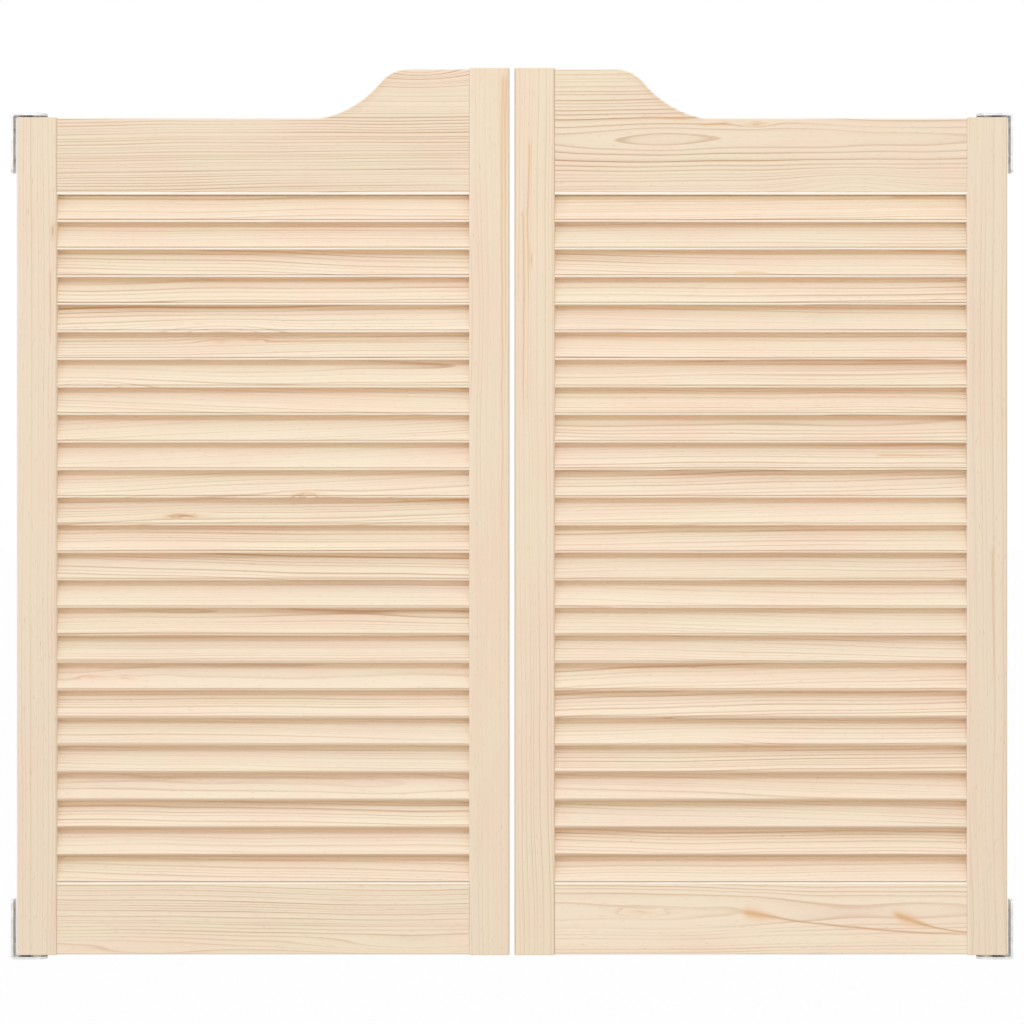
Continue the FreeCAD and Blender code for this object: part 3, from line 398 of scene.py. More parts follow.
def buildPine(name, ringWidth, taper, wander, contrast, arrisAmount, streakAmount):
    # reads the board coordinates, the board's own tone and its marks from the piece's mesh
    look, colours = pineLook, pineColours
    material, tree, shader = newMaterial(name, look["rough"], IOR=look["refraction"])
    place = fromMesh(tree, "grain")
    board = axesOf(tree, fromMesh(tree, "board"))
    stretches = axesOf(tree, fromMesh(tree, "swellStretch"))
    marks = [placeGroup(tree, boardMark, {"Place": place, "Mark": fromMesh(tree, label), **bend})
             for label, bend in (("knotA", knotBend), ("knotB", knotBend),
                                 ("swellA", {"Stretch": stretches["X"], **swellBend}),
                                 ("swellB", {"Stretch": stretches["Y"], **swellBend}))]
    shift = marks[0]["Shift"]
    for mark in marks[1:]:
        shift = calc(tree, "ADD", shift, mark["Shift"])
    grain = placeGroup(tree, pineGrain, {
        "Place": place, "Ring Width": ringWidth, "Taper": taper, "Wander": wander,
        "Shift": shift})

    # clear wood, its rings, fibre and resin ducts
    colour = mixColour(tree, mapRange(tree, grain["Tone"], *look["straw"]), colours["pale"],
                       colours["straw"])
    blush = mapRange(tree, grain["Blush"], *look["blush"], 0.0, look["blushMost"])
    colour = mixColour(tree, blush, colour, colours["blush"])
    strength = times(tree, board["Z"], contrast)
    colour = tinted(tree, colour, grain["Late Wood"], strength, colours["lateWood"])
    fibre = mapRange(tree, grain["Fibre"], *look["fibre"], *look["fibreShade"])
    colour = scaled(tree, colour, fibre, fibre, fibre)
    colour = tinted(tree, colour, grain["Duct"], look["duct"], colours["lateWood"])

    # knots and streaks
    stain = calc(tree, "MAXIMUM", marks[0]["Stain"], marks[1]["Stain"])
    rings = times(tree, stain, grain["Late Wood"])
    heart = calc(tree, "MAXIMUM", marks[0]["Heart"], marks[1]["Heart"])
    colour = tinted(tree, colour, stain, look["knotStain"], colours["stain"])
    colour = tinted(tree, colour, rings, look["knotRings"], colours["heart"])
    colour = tinted(tree, colour, heart, look["knotHeart"], colours["heart"])
    leans = axesOf(tree, fromMesh(tree, "streakLean"))
    for label, axis in (("streakA", "X"), ("streakB", "Y")):
        resin = placeGroup(tree, resinStreak, {
            "Place": place, "Streak": fromMesh(tree, label), "Lean": leans[axis],
            "Bow": leans["Z"]})
        colour = tinted(tree, colour, resin["Mask"], streakAmount, colours["stain"])
        colour = tinted(tree, colour, resin["Core"], look["streakHeart"] * streakAmount,
                        colours["heart"])

    # cut ends; edges partly sanded and partly painted with highlight, painted shade on edges,
    # creases and undersides turned from the light, painted warm shade in the slats' shadow bands,
    # and the board's own tone
    colour = tinted(tree, colour, fromMesh(tree, "endGrain", "Fac"), look["endGrain"],
                    colours["endGrain"])
    arris = fromMesh(tree, "arris", "Fac")
    # pale edges: partly sanded wear, partly painted highlight
    patchBlend = placeGroup(tree, arrisWearAndHighlight, {
        "Place": place, "Arris": arris, "Amount": arrisAmount})["Mask"]
    colour = mixColour(tree, patchBlend, colour, colours["arris"])
    # painted shade where the edge mask is negative: edges turned from the light, creases and
    # undersides
    paintedShade = calc(tree, "MAXIMUM", times(tree, arris, -1.0), 0.0)
    colour = mixColour(tree, paintedShade, colour, colours["paintedShade"])
    # painted warm shade on the upper face of each slat, where the slat above shades it
    paintedBandShade = fromMesh(tree, "paintedBandShade", "Fac")
    colour = mixColour(tree, paintedBandShade, colour, colours["paintedBandShade"], "MULTIPLY")
    green = times(tree, board["X"], board["Y"])
    blue = times(tree, board["X"], times(tree, board["Y"], board["Y"]))
    colour = scaled(tree, colour, board["X"], green, blue)

    rough = timesPlus(tree, grain["Late Wood"], look["lateRough"], look["rough"])
    rough = timesPlus(tree, grain["Fibre"], look["fibreRough"], rough)
    rough = timesPlus(tree, patchBlend, look["arrisRough"], rough)
    joinTo(tree, shader.inputs, {
        "Base Color": colour, "Roughness": rough,
        "Normal": bump(tree, grain["Height"], look["bump"], look["bumpDepth"])})
    return material


pineStile = buildPine("pineStile", ringWidth=4 * mm, taper=0.003, wander=3 * mm, contrast=0.38,
                      arrisAmount=0.4, streakAmount=0.4)
pineRail = buildPine("pineRail", ringWidth=3.3 * mm, taper=0.006, wander=3 * mm, contrast=1.0,
                     arrisAmount=1.0, streakAmount=0.75)
pineSlat = buildPine("pineSlat", ringWidth=3.8 * mm, taper=0.008, wander=3 * mm, contrast=0.9,
                     arrisAmount=0.45, streakAmount=0.6)


metalLook = {"clouds": (0.38, 0.66), "pitted": 0.35, "lineRough": 0.16, "wornRough": 0.08,
             "pitHeight": -0.8, "bump": 0.25, "bumpDepth": 0.04 * mm}


def buildMetal(name, base, darker, roughness, stretch, metallic=1.0):
    look = metalLook
    material, tree, shader = newMaterial(name, roughness, Metallic=metallic)
    place = addNode(tree, "ShaderNodeTexCoord").outputs["Object"]
    grain = placeGroup(tree, metalGrain, {"Place": place, "Stretch": stretch})
    patchBlend = mapRange(tree, grain["Clouds"], *look["clouds"])
    colour = mixColour(tree, patchBlend, base, darker)
    colour = tinted(tree, colour, grain["Pits"], look["pitted"], darker)
    smoothest = roughness - look["lineRough"] / 2
    rough = timesPlus(tree, grain["Lines"], look["lineRough"], smoothest)
    rough = timesPlus(tree, patchBlend, look["wornRough"], rough)
    height = timesPlus(tree, grain["Pits"], look["pitHeight"], grain["Lines"])
    joinTo(tree, shader.inputs, {"Base Color": colour, "Roughness": rough,
                                 "Normal": bump(tree, height, look["bump"], look["bumpDepth"])})
    return material


nylonLook = {"pale": paint(232, 229, 219), "darker": paint(218, 213, 199), "rough": 0.42,
             "roughFrom": 0.34, "lineRough": 0.2, "stretch": (160, 160, 900), "clouds": 260.0,
             "bump": 0.3, "bumpDepth": 0.04 * mm}


def buildNylon():
    look = nylonLook
    material, tree, shader = newMaterial("nylon", look["rough"], Metallic=0.0)
    place = addNode(tree, "ShaderNodeTexCoord").outputs["Object"]
    grain = placeGroup(tree, metalGrain, {
        "Place": place, "Stretch": look["stretch"], "Cloud Scale": look["clouds"]})
    lines = grain["Lines"]
    joinTo(tree, shader.inputs, {
        "Base Color": mixColour(tree, grain["Clouds"], look["pale"], look["darker"]),
        "Roughness": timesPlus(tree, lines, look["lineRough"], look["roughFrom"]),
        "Normal": bump(tree, lines, look["bump"], look["bumpDepth"])})
    return material


beechLook = {"pale": paint(212, 172, 134), "lateWood": paint(186, 140, 102),
             "fleck": paint(140, 96, 66), "flecks": 0.6, "rough": 0.5, "roughFrom": 0.42,
             "fibreRough": 0.2, "bump": 0.4, "bumpDepth": 0.1 * mm}
beechRings = {"Ring Width": 2 * mm, "Taper": 0.0, "Wander": 1 * mm, "Shift": 0.0}


def buildBeech():
    look = beechLook
    material, tree, shader = newMaterial("beech", look["rough"])
    place = addNode(tree, "ShaderNodeTexCoord").outputs["Object"]
    grain = placeGroup(tree, pineGrain, {"Place": place, **beechRings})
    colour = mixColour(tree, grain["Late Wood"], look["pale"], look["lateWood"])
    joinTo(tree, shader.inputs, {
        "Base Color": tinted(tree, colour, grain["Duct"], look["flecks"], look["fleck"]),
        "Roughness": timesPlus(tree, grain["Fibre"], look["fibreRough"], look["roughFrom"]),
        "Normal": bump(tree, grain["Height"], look["bump"], look["bumpDepth"])})
    return material


zincSteel = buildMetal("zincSteel", base=paint(240, 241, 241), darker=paint(224, 226, 225),
                       roughness=0.46, stretch=(260, 260, 1400), metallic=0.7)
brightSteel = buildMetal("brightSteel", base=paint(212, 211, 208), darker=paint(190, 189, 186),
                         roughness=0.26, stretch=(300, 300, 2600))
screwSteel = buildMetal("screwSteel", base=paint(204, 203, 198), darker=paint(168, 167, 160),
                        roughness=0.36, stretch=(700, 700, 700))
springSteel = buildMetal("springSteel", base=paint(112, 112, 116), darker=paint(78, 77, 80),
                         roughness=0.38, stretch=(900, 900, 900))
nylon = buildNylon()
beech = buildBeech()
print("materials made:", len(bpy.data.materials))


sharpFrom = math.radians(38)
# the logs are endless: a board starts anywhere up to this many metres along its log, either way
logReach = 40


def newObject(name, data):
    made = bpy.data.objects.new(name, data)
    bpy.context.scene.collection.objects.link(made)
    return made


def arc(centreAcross, centreUp, radius, start, end, steps):
    return [(centreAcross + radius * math.cos(start + (end - start) * step / steps),
             centreUp + radius * math.sin(start + (end - start) * step / steps))
            for step in range(steps + 1)]


def spread(start, end, count):
    return [start + (end - start) * step / (count - 1) for step in range(count)]


def clamped(value):
    return min(max(value, 0.0), 1.0)


def makeBoard(name, rings, masks, grainOf, board, marks, material, body, stands):
    # rings of points are joined in order and closed at both ends; grainOf turns a point into
    # board coordinates, with the pith as their X axis; masks hold one value for each point
    points = [point for ring in rings for point in ring]
    around = len(rings[0])
    faces = []
    for row in range(len(rings) - 1):
        for step in range(around):
            following = (step + 1) % around
            faces.append((row * around + step, row * around + following,
                          (row + 1) * around + following, (row + 1) * around + step))
    last = (len(rings) - 1) * around
    faces.append(tuple(reversed(range(around))))
    faces.append(tuple(range(last, last + around)))
    mesh = bpy.data.meshes.new(name)
    mesh.from_pydata(points, [], faces)
    mesh.validate()
    mesh.update()
    piece = newObject(name, mesh)
    values = {"grain": [grainOf(point) for point in points], "board": [board] * len(points)}
    for label, mark in marks.items():
        values[label] = [mark] * len(points)
    for label, items in values.items():
        attribute = mesh.attributes.new(label, "FLOAT_VECTOR", "POINT")
        attribute.data.foreach_set("vector", [part for item in items for part in item])
    for label in ("arris", "endGrain", "paintedBandShade"):
        attribute = mesh.attributes.new(label, "FLOAT", "POINT")
        attribute.data.foreach_set("value", masks.get(label, [0.0] * len(points)))
    mesh.shade_smooth()
    mesh.set_sharp_from_angle(angle=sharpFrom)
    piece.modifiers.new("evenShading", "WEIGHTED_NORMAL").keep_sharp = True
    mesh.materials.append(material)
    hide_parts(*stands)
    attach(piece, body)


def pithFor(dice, asideRange, depthRange):
    # where the pith lies: across the board, through its thickness, and a start along the log
    aside = dice.uniform(*asideRange) * dice.choice((-1, 1))
    depth = dice.uniform(*depthRange) * dice.choice((-1, 1))
    return aside * mm, depth * mm, dice.uniform(-logReach, logReach)


def marksFor(figure, placeOf):
    # knots, swells and streaks as places in board coordinates; a missing one has no size
    noMark = (0, 0, 0)
    knots = [placeOf(*knot) for knot in figure.get("knots", ())] + [noMark, noMark]
    swells, stretches = [], []
    for along, up, size, stretch in figure.get("swells", ()):
        swells.append(placeOf(along, up, size))
        stretches.append(stretch)
    swells += [noMark, noMark]
    stretches += [1, 1]
    streaks, leans = [], []
    for along, up, run, lean in figure.get("streaks", ()):
        streaks.append((*placeOf(along, up, 0)[:2], run * mm))
        leans.append(lean)
    streaks += [noMark, noMark]
    leans += [0, 0]
    return {"knotA": knots[0], "knotB": knots[1], "swellA": swells[0], "swellB": swells[1],
            "swellStretch": (stretches[0], stretches[1], 0), "streakA": streaks[0],
            "streakB": streaks[1], "streakLean": (leans[0], leans[1], figure.get("bow", 0))}


def boardTone(dice, look, tone, cool, figure=None):
    # how light the board is, how little yellow, and how strong its rings are
    light = (1 + dice.uniform(-look["toneRange"], look["toneRange"])) * tone
    coolness = (1 + dice.uniform(-look["coolRange"], look["coolRange"])) * cool
    strength = dice.uniform(*look["figure"])
    return light, coolness, strength if figure is None else figure


# stiles: uprights with softened long edges
stileLook = {"arris": 2 * mm, "endChamfer": 0.6 * mm, "arcSteps": 7, "rows": 46,
             "endGap": 3 * mm, "seed": 12, "toneRange": 0.012, "coolRange": 0.008,
             "figure": (0.6, 1.1), "darker": -0.25, "tone": 0.982, "cool": 1.006,
             "pithAside": (40, 90), "pithDepth": (15, 60)}

# marks by stile, in millimetres: knots by their height above its foot, distance across from its
# middle, and size; streaks by where they start, how far they run and how they lean
stileFigures = {
    "left_hinge_stile": {"knots": [(735, 17, 2.5)], "streaks": [(700, 14, -90, 0)]},
    "left_meeting_stile": {"streaks": [(897, 13, -560, 0), (897, 16.5, -320, 0)]},
    "right_meeting_stile": {"knots": [(705, -4, 2)],
                            "streaks": [(830, -6, -190, 0.005), (760, -11, -240, 0)]},
    "right_hinge_stile": {"streaks": [(420, 6, -160, 0)]}}


def makeStile(side, kind, number):
    node = f"{side}_{kind}"
    low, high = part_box(node)
    look = stileLook
    dice = random.Random(look["seed"] + number)
    middle = (low + high) / 2
    halfWidth = (high.x - low.x) / 2
    halfDepth = (high.y - low.y) / 2

    def outline(inset):
        reach = look["arris"]
        corners = []
        for turn, (signX, signY) in enumerate(((1, 1), (-1, 1), (-1, -1), (1, -1))):
            start = turn * math.pi / 2
            corners += arc(signX * (halfWidth - reach), signY * (halfDepth - reach),
                           reach - inset, start, start + math.pi / 2, look["arcSteps"])
        return corners

    chamfer = look["endChamfer"]
    heights = [(low.z, chamfer), (low.z + chamfer, 0)]
    heights += [(z, 0) for z in spread(low.z + look["endGap"], high.z - look["endGap"],
                                       look["rows"])]
    heights += [(high.z - chamfer, 0), (high.z, chamfer)]
    rings = [[Vector((middle.x + across, middle.y + deep, z)) for across, deep in outline(inset)]
             for z, inset in heights]
    around = len(rings[0])
    steps = look["arcSteps"] + 1
    # painted light: edges turned to the left, towards the lamp, are painted paler, those turned
    # right or to the gap painted darker
    tones = [look["darker"], 1.0, 1.0, look["darker"]]
    if node == "right_meeting_stile":
        tones = [look["darker"]] * 4
    softened = [math.sin(math.pi * (index % steps) / look["arcSteps"]) * tones[index // steps]
                for index in range(around)]
    arrisMask = []
    for z, inset in heights:
        # the top end gets a painted highlight and the foot painted shade
        end = look["darker"] if z < middle.z else 1.0
        arrisMask += [end] * around if inset else softened
    endMask = [1.0 if inset else 0.0 for z, inset in heights for index in range(around)]
    aside, depth, shift = pithFor(dice, look["pithAside"], look["pithDepth"])

    def grainOf(point):
        return point.z + shift, point.x - middle.x - aside, point.y - middle.y - depth

    def placeOf(up, across, size):
        return (low.z + up * mm + shift, across * mm - aside, size * mm)

    board = boardTone(dice, look, look["tone"], look["cool"])
    marks = marksFor(stileFigures.get(node, {}), placeOf)
    makeBoard(f"{side}{kind.title().replace('_', '')}", rings,
              {"arris": arrisMask, "endGrain": endMask}, grainOf, board, marks, pineStile,
              f"{side}_leaf", [node])


# rails: boards between the stiles; the top one sweeps up to the meeting stile
railLook = {"arris": 1.5 * mm, "arcSteps": 6, "faceRows": 10, "seed": 40, "toneRange": 0.01,
            "coolRange": 0.008, "figure": (0.9, 1.1), "setback": 0.8 * mm, "lip": 2.0 * mm,
            "foot": 1.2 * mm, "quirkUp": 2.2 * mm, "quirkTop": 2.6 * mm, "quirkDeep": 0.8 * mm,
            "quirkSlope": 0.1 * mm, "beadIn": 0.85, "beadReach": 0.8 * mm,
            "upperArris": 1.9 * mm, "topPale": 0.5, "darker": -0.15, "steepest": 2.2,
            "crestRun": 102 * mm, "shoulderRun": 93 * mm, "crestRadius": 38 * mm,
            "sweepRadius": 104 * mm, "toeRadius": 30 * mm, "stileWidth": 41 * mm,
            "joinGap": 2 * mm, "closest": 0.1 * mm}
# how many cross-sections each stretch of a rail has
railRows = {"low": 34, "toe": 6, "sweep": 26, "crest": 20, "high": 8, "plain": 40}

# figure of each rail, in millimetres: how high above the rail's lower edge the pith lies and how
# far behind the face, then its knots, swells and streaks by their place from the middle of the
# doorway and their height above the rail's lower edge; tone makes it lighter, cool less yellow,
# fine draws the rings closer, and bow gives its streaks broad heads
railFigures = {
    "left_top_rail": {"pith": (168, 40), "swells": [(-92, 122, -15, 3.5)], "fine": 1.2,
                      "tone": 0.995, "cool": 1.017, "figure": 1.5},
    "right_top_rail": {"pith": (57, 23), "knots": [(247, 71, 2.6)], "fine": 0.95,
                       "swells": [(345, 8, 13, 5)], "tone": 1.015, "cool": 1.009, "figure": 1.1,
                       "streaks": [(225, 72, -40, 0.05), (184, 77, -60, -0.02)]},
    "left_bottom_rail": {"pith": (-12, 28), "swells": [(-374, 2, 8, 9), (-110, 8, 9, 12)],
                         "fine": 1.25, "tone": 1.035, "cool": 1.012, "figure": 1.0},
    "right_bottom_rail": {"pith": (44, 26.2), "knots": [(131, 43, 3.2)], "tone": 1.05,
                          "cool": 1.018, "bow": 1, "fine": 0.95, "swells": [(300, -4, 5, 8)],
                          "streaks": [(228, 44, 270, -0.17), (382, 44, 104, -0.42)]}}


def topEdge(length, lowDepth, highDepth):
    # the upper edge of a top rail from its low end: distance along, height, slope
    look, rows = railLook, railRows
    crestX = length + look["stileWidth"] - look["crestRun"]
    toeX = crestX - look["shoulderRun"]
    crest = Vector((crestX, highDepth - look["crestRadius"]))
    toe = Vector((toeX, lowDepth + look["toeRadius"]))
    toeReach = look["sweepRadius"] - look["toeRadius"]
    crestReach = look["sweepRadius"] + look["crestRadius"]
    span = crest - toe
    along = (span.length ** 2 + toeReach ** 2 - crestReach ** 2) / (2 * span.length)
    aside = math.sqrt(toeReach ** 2 - along ** 2)
    unit = span.normalized()
    sweep = toe + unit * along + Vector((-unit.y, unit.x)) * aside
    upper = crest + (sweep - crest).normalized() * look["crestRadius"]
    lower = sweep + (toe - sweep).normalized() * look["sweepRadius"]

    def heading(centre, point):
        return math.atan2(point.y - centre.y, point.x - centre.x)

    edge = [(x, lowDepth, 0.0) for x in spread(0, toeX - look["joinGap"], rows["low"])]
    for centre, radius, start, end, count, hollow in (
            (toe, look["toeRadius"], -math.pi / 2, heading(toe, lower), rows["toe"], True),
            (sweep, look["sweepRadius"], heading(sweep, lower), heading(sweep, upper),
             rows["sweep"], True),
            (crest, look["crestRadius"], heading(crest, upper), math.pi / 2, rows["crest"],
             False)):
        for angle in spread(start, end, count):
            spot = centre + Vector((math.cos(angle), math.sin(angle))) * radius
            slope = angle + math.pi / 2 if hollow else angle - math.pi / 2
            if spot.x > edge[-1][0] + look["closest"]:
                edge.append((spot.x, spot.y, slope))
    edge += [(x, highDepth, 0.0) for x in spread(crestX + look["joinGap"], length, rows["high"])]
    return edge


def makeRail(side, kind, number, lowDepth=None):
    # lowDepth is how deep a top rail is at its low end; a bottom rail is even and has none
    node = f"{side}_{kind}"
    low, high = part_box(node)
    look = railLook
    dice = random.Random(look["seed"] + number)
    if lowDepth:
        low.z -= look["lip"]  # a fine bead along the lower edge
        lowDepth += look["lip"]
    else:
        low.z -= look["foot"]
    length = high.x - low.x
    depth = high.z - low.z
    halfDepth = (high.y - low.y) / 2
    middleY = (low.y + high.y) / 2
    edge = topEdge(length, lowDepth, depth) if lowDepth else [
        (x, depth, 0.0) for x in spread(0, length, railRows["plain"])]
    mirror = side == "right"
    rings, arrisMask, endMask = [], [], []
    turn = look["arcSteps"]
    reach = look["arris"] if lowDepth else look["upperArris"]
    foot = look["beadReach"] if lowDepth else look["arris"]
    start = look["quirkTop"] if lowDepth else foot
    upperPale = look["topPale"] if lowDepth else 1.0

    def bright(step):
        # strongest half way round an arris
        return math.sin(math.pi * step / turn) ** 0.5 if 0 < step < turn else 0.0

    for x, top, slope in edge:
        lean = min(1 / math.cos(slope), look["steepest"])
        cutEnd = abs(math.sin(slope))
        front = []
        # the lower edge: painted highlight along a top rail's bead, painted shade on a bottom
        # rail's edge
        for step in range(turn + 1):
            angle = math.pi / 2 * step / turn
            front.append((-(halfDepth - foot) - foot * math.sin(angle),
                          foot * (1 - math.cos(angle)),
                          1.0 if lowDepth else look["darker"] * bright(step), 0.0))
        if lowDepth:
            # the bead slopes in to a quirk; the bead is painted pale, a painted highlight, and
            # the quirk painted shade
            front.append((-halfDepth + look["beadIn"] * look["quirkDeep"],
                          look["quirkUp"] - look["quirkSlope"], 1.0, 0.0))
            front.append((-halfDepth + look["quirkDeep"], look["quirkUp"], look["darker"], 0.0))
            front.append((-halfDepth, look["quirkTop"], 0.0, 0.0))
        for step in range(1, look["faceRows"]):
            up = start + (top - reach * lean - start) * step / look["faceRows"]
            front.append((-halfDepth, up, 0.0, 0.0))
        # the upper edge: painted highlight, at half strength on a top rail
        for step in range(turn + 1):
            angle = math.pi / 2 * step / turn
            front.append((-(halfDepth - reach) - reach * math.cos(angle),
                          top - reach * lean * (1 - math.sin(angle)),
                          upperPale * bright(step), cutEnd))
        loop = front + [(-y, up, mask, end) for y, up, mask, end in reversed(front)]
        if not mirror:
            loop.reverse()
        worldX = high.x - x if mirror else low.x + x
        rings.append([Vector((worldX, middleY + y, low.z + up)) for y, up, mask, end in loop])
        arrisMask += [mask for y, up, mask, end in loop]
        endMask += [end for y, up, mask, end in loop]
    shift = dice.uniform(-logReach, logReach)
    figure = railFigures[node]
    pithUp, pithDeep = figure["pith"]
    fine = figure["fine"]

    def grainOf(point):
        return (point.x + shift, (point.z - low.z - pithUp * mm) * fine,
                (point.y - low.y - pithDeep * mm) * fine)

    def placeOf(x, up, size):
        return x * mm + shift, (up - pithUp) * mm * fine, size * mm * fine

    board = boardTone(dice, look, figure["tone"], figure["cool"], figure.get("figure"))
    makeBoard(f"{side}{kind.title().replace('_', '')}", rings,
              {"arris": arrisMask, "endGrain": endMask}, grainOf, board,
              marksFor(figure, placeOf), pineRail, f"{side}_leaf", [node])


# louvre slats: each its own board, lower edge to the front, with a fine quirk above the nose that
# is crisper high up; high up the edge below the quirk gets a painted highlight, low down the
# nose's underside gets painted shade
slatLook = {"width": 35.02 * mm, "thickness": 6 * mm, "tilt": math.radians(25),
            "quirkTurn": math.radians(29), "quirkHalf": math.radians(9), "quirkClear": 1.3,
            "quirkDeep": 1.2 * mm, "quirkAtFoot": 0.05, "quirkShade": -0.7,
            "beadEnd": math.radians(88), "beadSquare": 0.2, "beadFade": 2.4, "beadUnder": -0.5,
            "underFrom": 0.9, "undersideShade": 1.0, "undersideShadeFrom": math.radians(6),
            "undersideShadeOver": math.radians(34), "backPale": 0.5, "planeGap": 0.4 * mm,
            "noseSteps": 16, "backSteps": 10, "faceRows": 10, "bandShadeFrom": 23 * mm,
            "bandShadeTo": 27 * mm, "columns": 30, "perGroup": 5, "groups": 5, "seed": 300,
            # tone lifts the slats above the stiles, painted light for faces that tilt up towards
            # the lamp
            "rightSeed": 800, "tone": 1.06, "cool": 1.025, "toneRange": 0.016,
            "coolRange": 0.01, "figure": (0.5, 1.25), "pithAside": (24, 70),
            "pithDepth": (8, 30), "lean": 0.02, "fine": (0.75, 1.35)}

# figure of single slats, the lowest being 0, in millimetres: knots and swells by their place
# along the slat from its left end, their height above its nose, and size; streaks by where they
# start, how far they run and how they lean; aside and depth are where the pith lies
slatFigures = {
    ("left", 7): {"knots": [(41, 12, 3), (76, 12, 3)], "swells": [(112, 12, 4, 6)], "aside": -30},
    ("left", 12): {"aside": 50, "figure": 1.2},
    ("left", 13): {"knots": [(132, 10, 4)], "streaks": [(432, 25, -90, 0)], "aside": -40,
                   "depth": 10, "figure": 1.2},
    ("left", 14): {"knots": [(259, 4, 4)], "aside": -35, "lean": -0.05},
    ("left", 15): {"lean": -0.06, "aside": 45, "depth": 10},
    ("left", 16): {"lean": -0.07, "aside": 45, "depth": 10},
    ("left", 17): {"streaks": [(100, 27, -90, 0), (432, 27, -90, 0)], "lean": 0.03},
    ("left", 18): {"swells": [(40, 2, 8, 6)], "aside": -30, "depth": 10},
    ("left", 19): {"knots": [(172, 19, 3.4), (205, 20, 3)], "aside": -45, "depth": 10,
                   "streaks": [(215, 18, 190, -0.01)], "figure": 0.9},
    ("left", 20): {"swells": [(173, 0, 13, 6)], "aside": -36, "depth": 10, "figure": 1.3,
                   "fine": 0.8},
    ("right", 5): {"swells": [(150, 4, 8, 6)], "aside": -40, "depth": 10},
    ("right", 15): {"streaks": [(425, 27, -110, 0), (330, 14, 95, 0)], "figure": 1.1},
    ("right", 17): {"aside": 60, "depth": 8, "lean": 0, "figure": 1.3},
    ("right", 18): {"streaks": [(190, 26, -70, 0), (318, 26, 115, 0)], "aside": 40},
    ("right", 22): {"streaks": [(187, 4.5, 42, 0), (345, 27, 85, 0)], "figure": 1.1},
    ("right", 24): {"streaks": [(345, 25, 75, -0.02)], "aside": 50, "depth": 9, "figure": 1.1}}


def slatProfile(crisp):
    # closed section of a slat: distance up its slope from the nose, distance out of its middle,
    # arris mask; crisp goes from 0 to 1 with the depth of the quirk and the painted highlight on
    # the nose, and the painted shade under the nose fades as it grows
    look = slatLook
    half = look["thickness"] / 2
    top = look["width"] - half
    quirk = look["quirkTurn"]
    clear = look["quirkClear"] * look["quirkHalf"]
    section = [(up, half, 0.0) for up in spread(top, half, look["faceRows"] + 1)]
    turns = [(math.pi * step / look["noseSteps"], 0.0) for step in range(1, look["noseSteps"])]
    turns = [turn for turn in turns if abs(turn[0] - quirk) > clear]
    turns += [(quirk + side * look["quirkHalf"], 0.0) for side in (-1, 1)]
    turns.append((quirk, look["quirkDeep"] * crisp))
    beadStart = quirk + look["quirkHalf"]
    for turn, cutIn in sorted(turns):
        # below the quirk the bead is squarer, with a painted highlight in front and painted shade
        # underneath; the quirk gets painted shade
        past = (turn - beadStart) / (look["beadEnd"] - beadStart)
        square = crisp * look["beadSquare"] * math.sin(math.pi * clamped(past))
        bead = half * (1 + square) - cutIn
        mask = 0.0
        if past >= 0:
            mask = crisp * (clamped(look["beadFade"] * (1 - past))
                            + look["beadUnder"] * (past > look["underFrom"]))
        if turn == quirk:
            mask = look["quirkShade"] * crisp
        # painted shade under the nose, strongest on the lowest slats
        under = clamped((turn - look["undersideShadeFrom"]) / look["undersideShadeOver"])
        mask -= (1 - crisp) * look["undersideShade"] * under
        section.append((half - bead * math.sin(turn), bead * math.cos(turn), mask))
    section += [(up, -half, 0.0) for up in spread(half, top, look["faceRows"] + 1)]
    for step in range(1, look["backSteps"]):
        angle = math.pi * step / look["backSteps"]
        section.append((top + half * math.sin(angle), -half * math.cos(angle),
                        look["backPale"]))
    return section


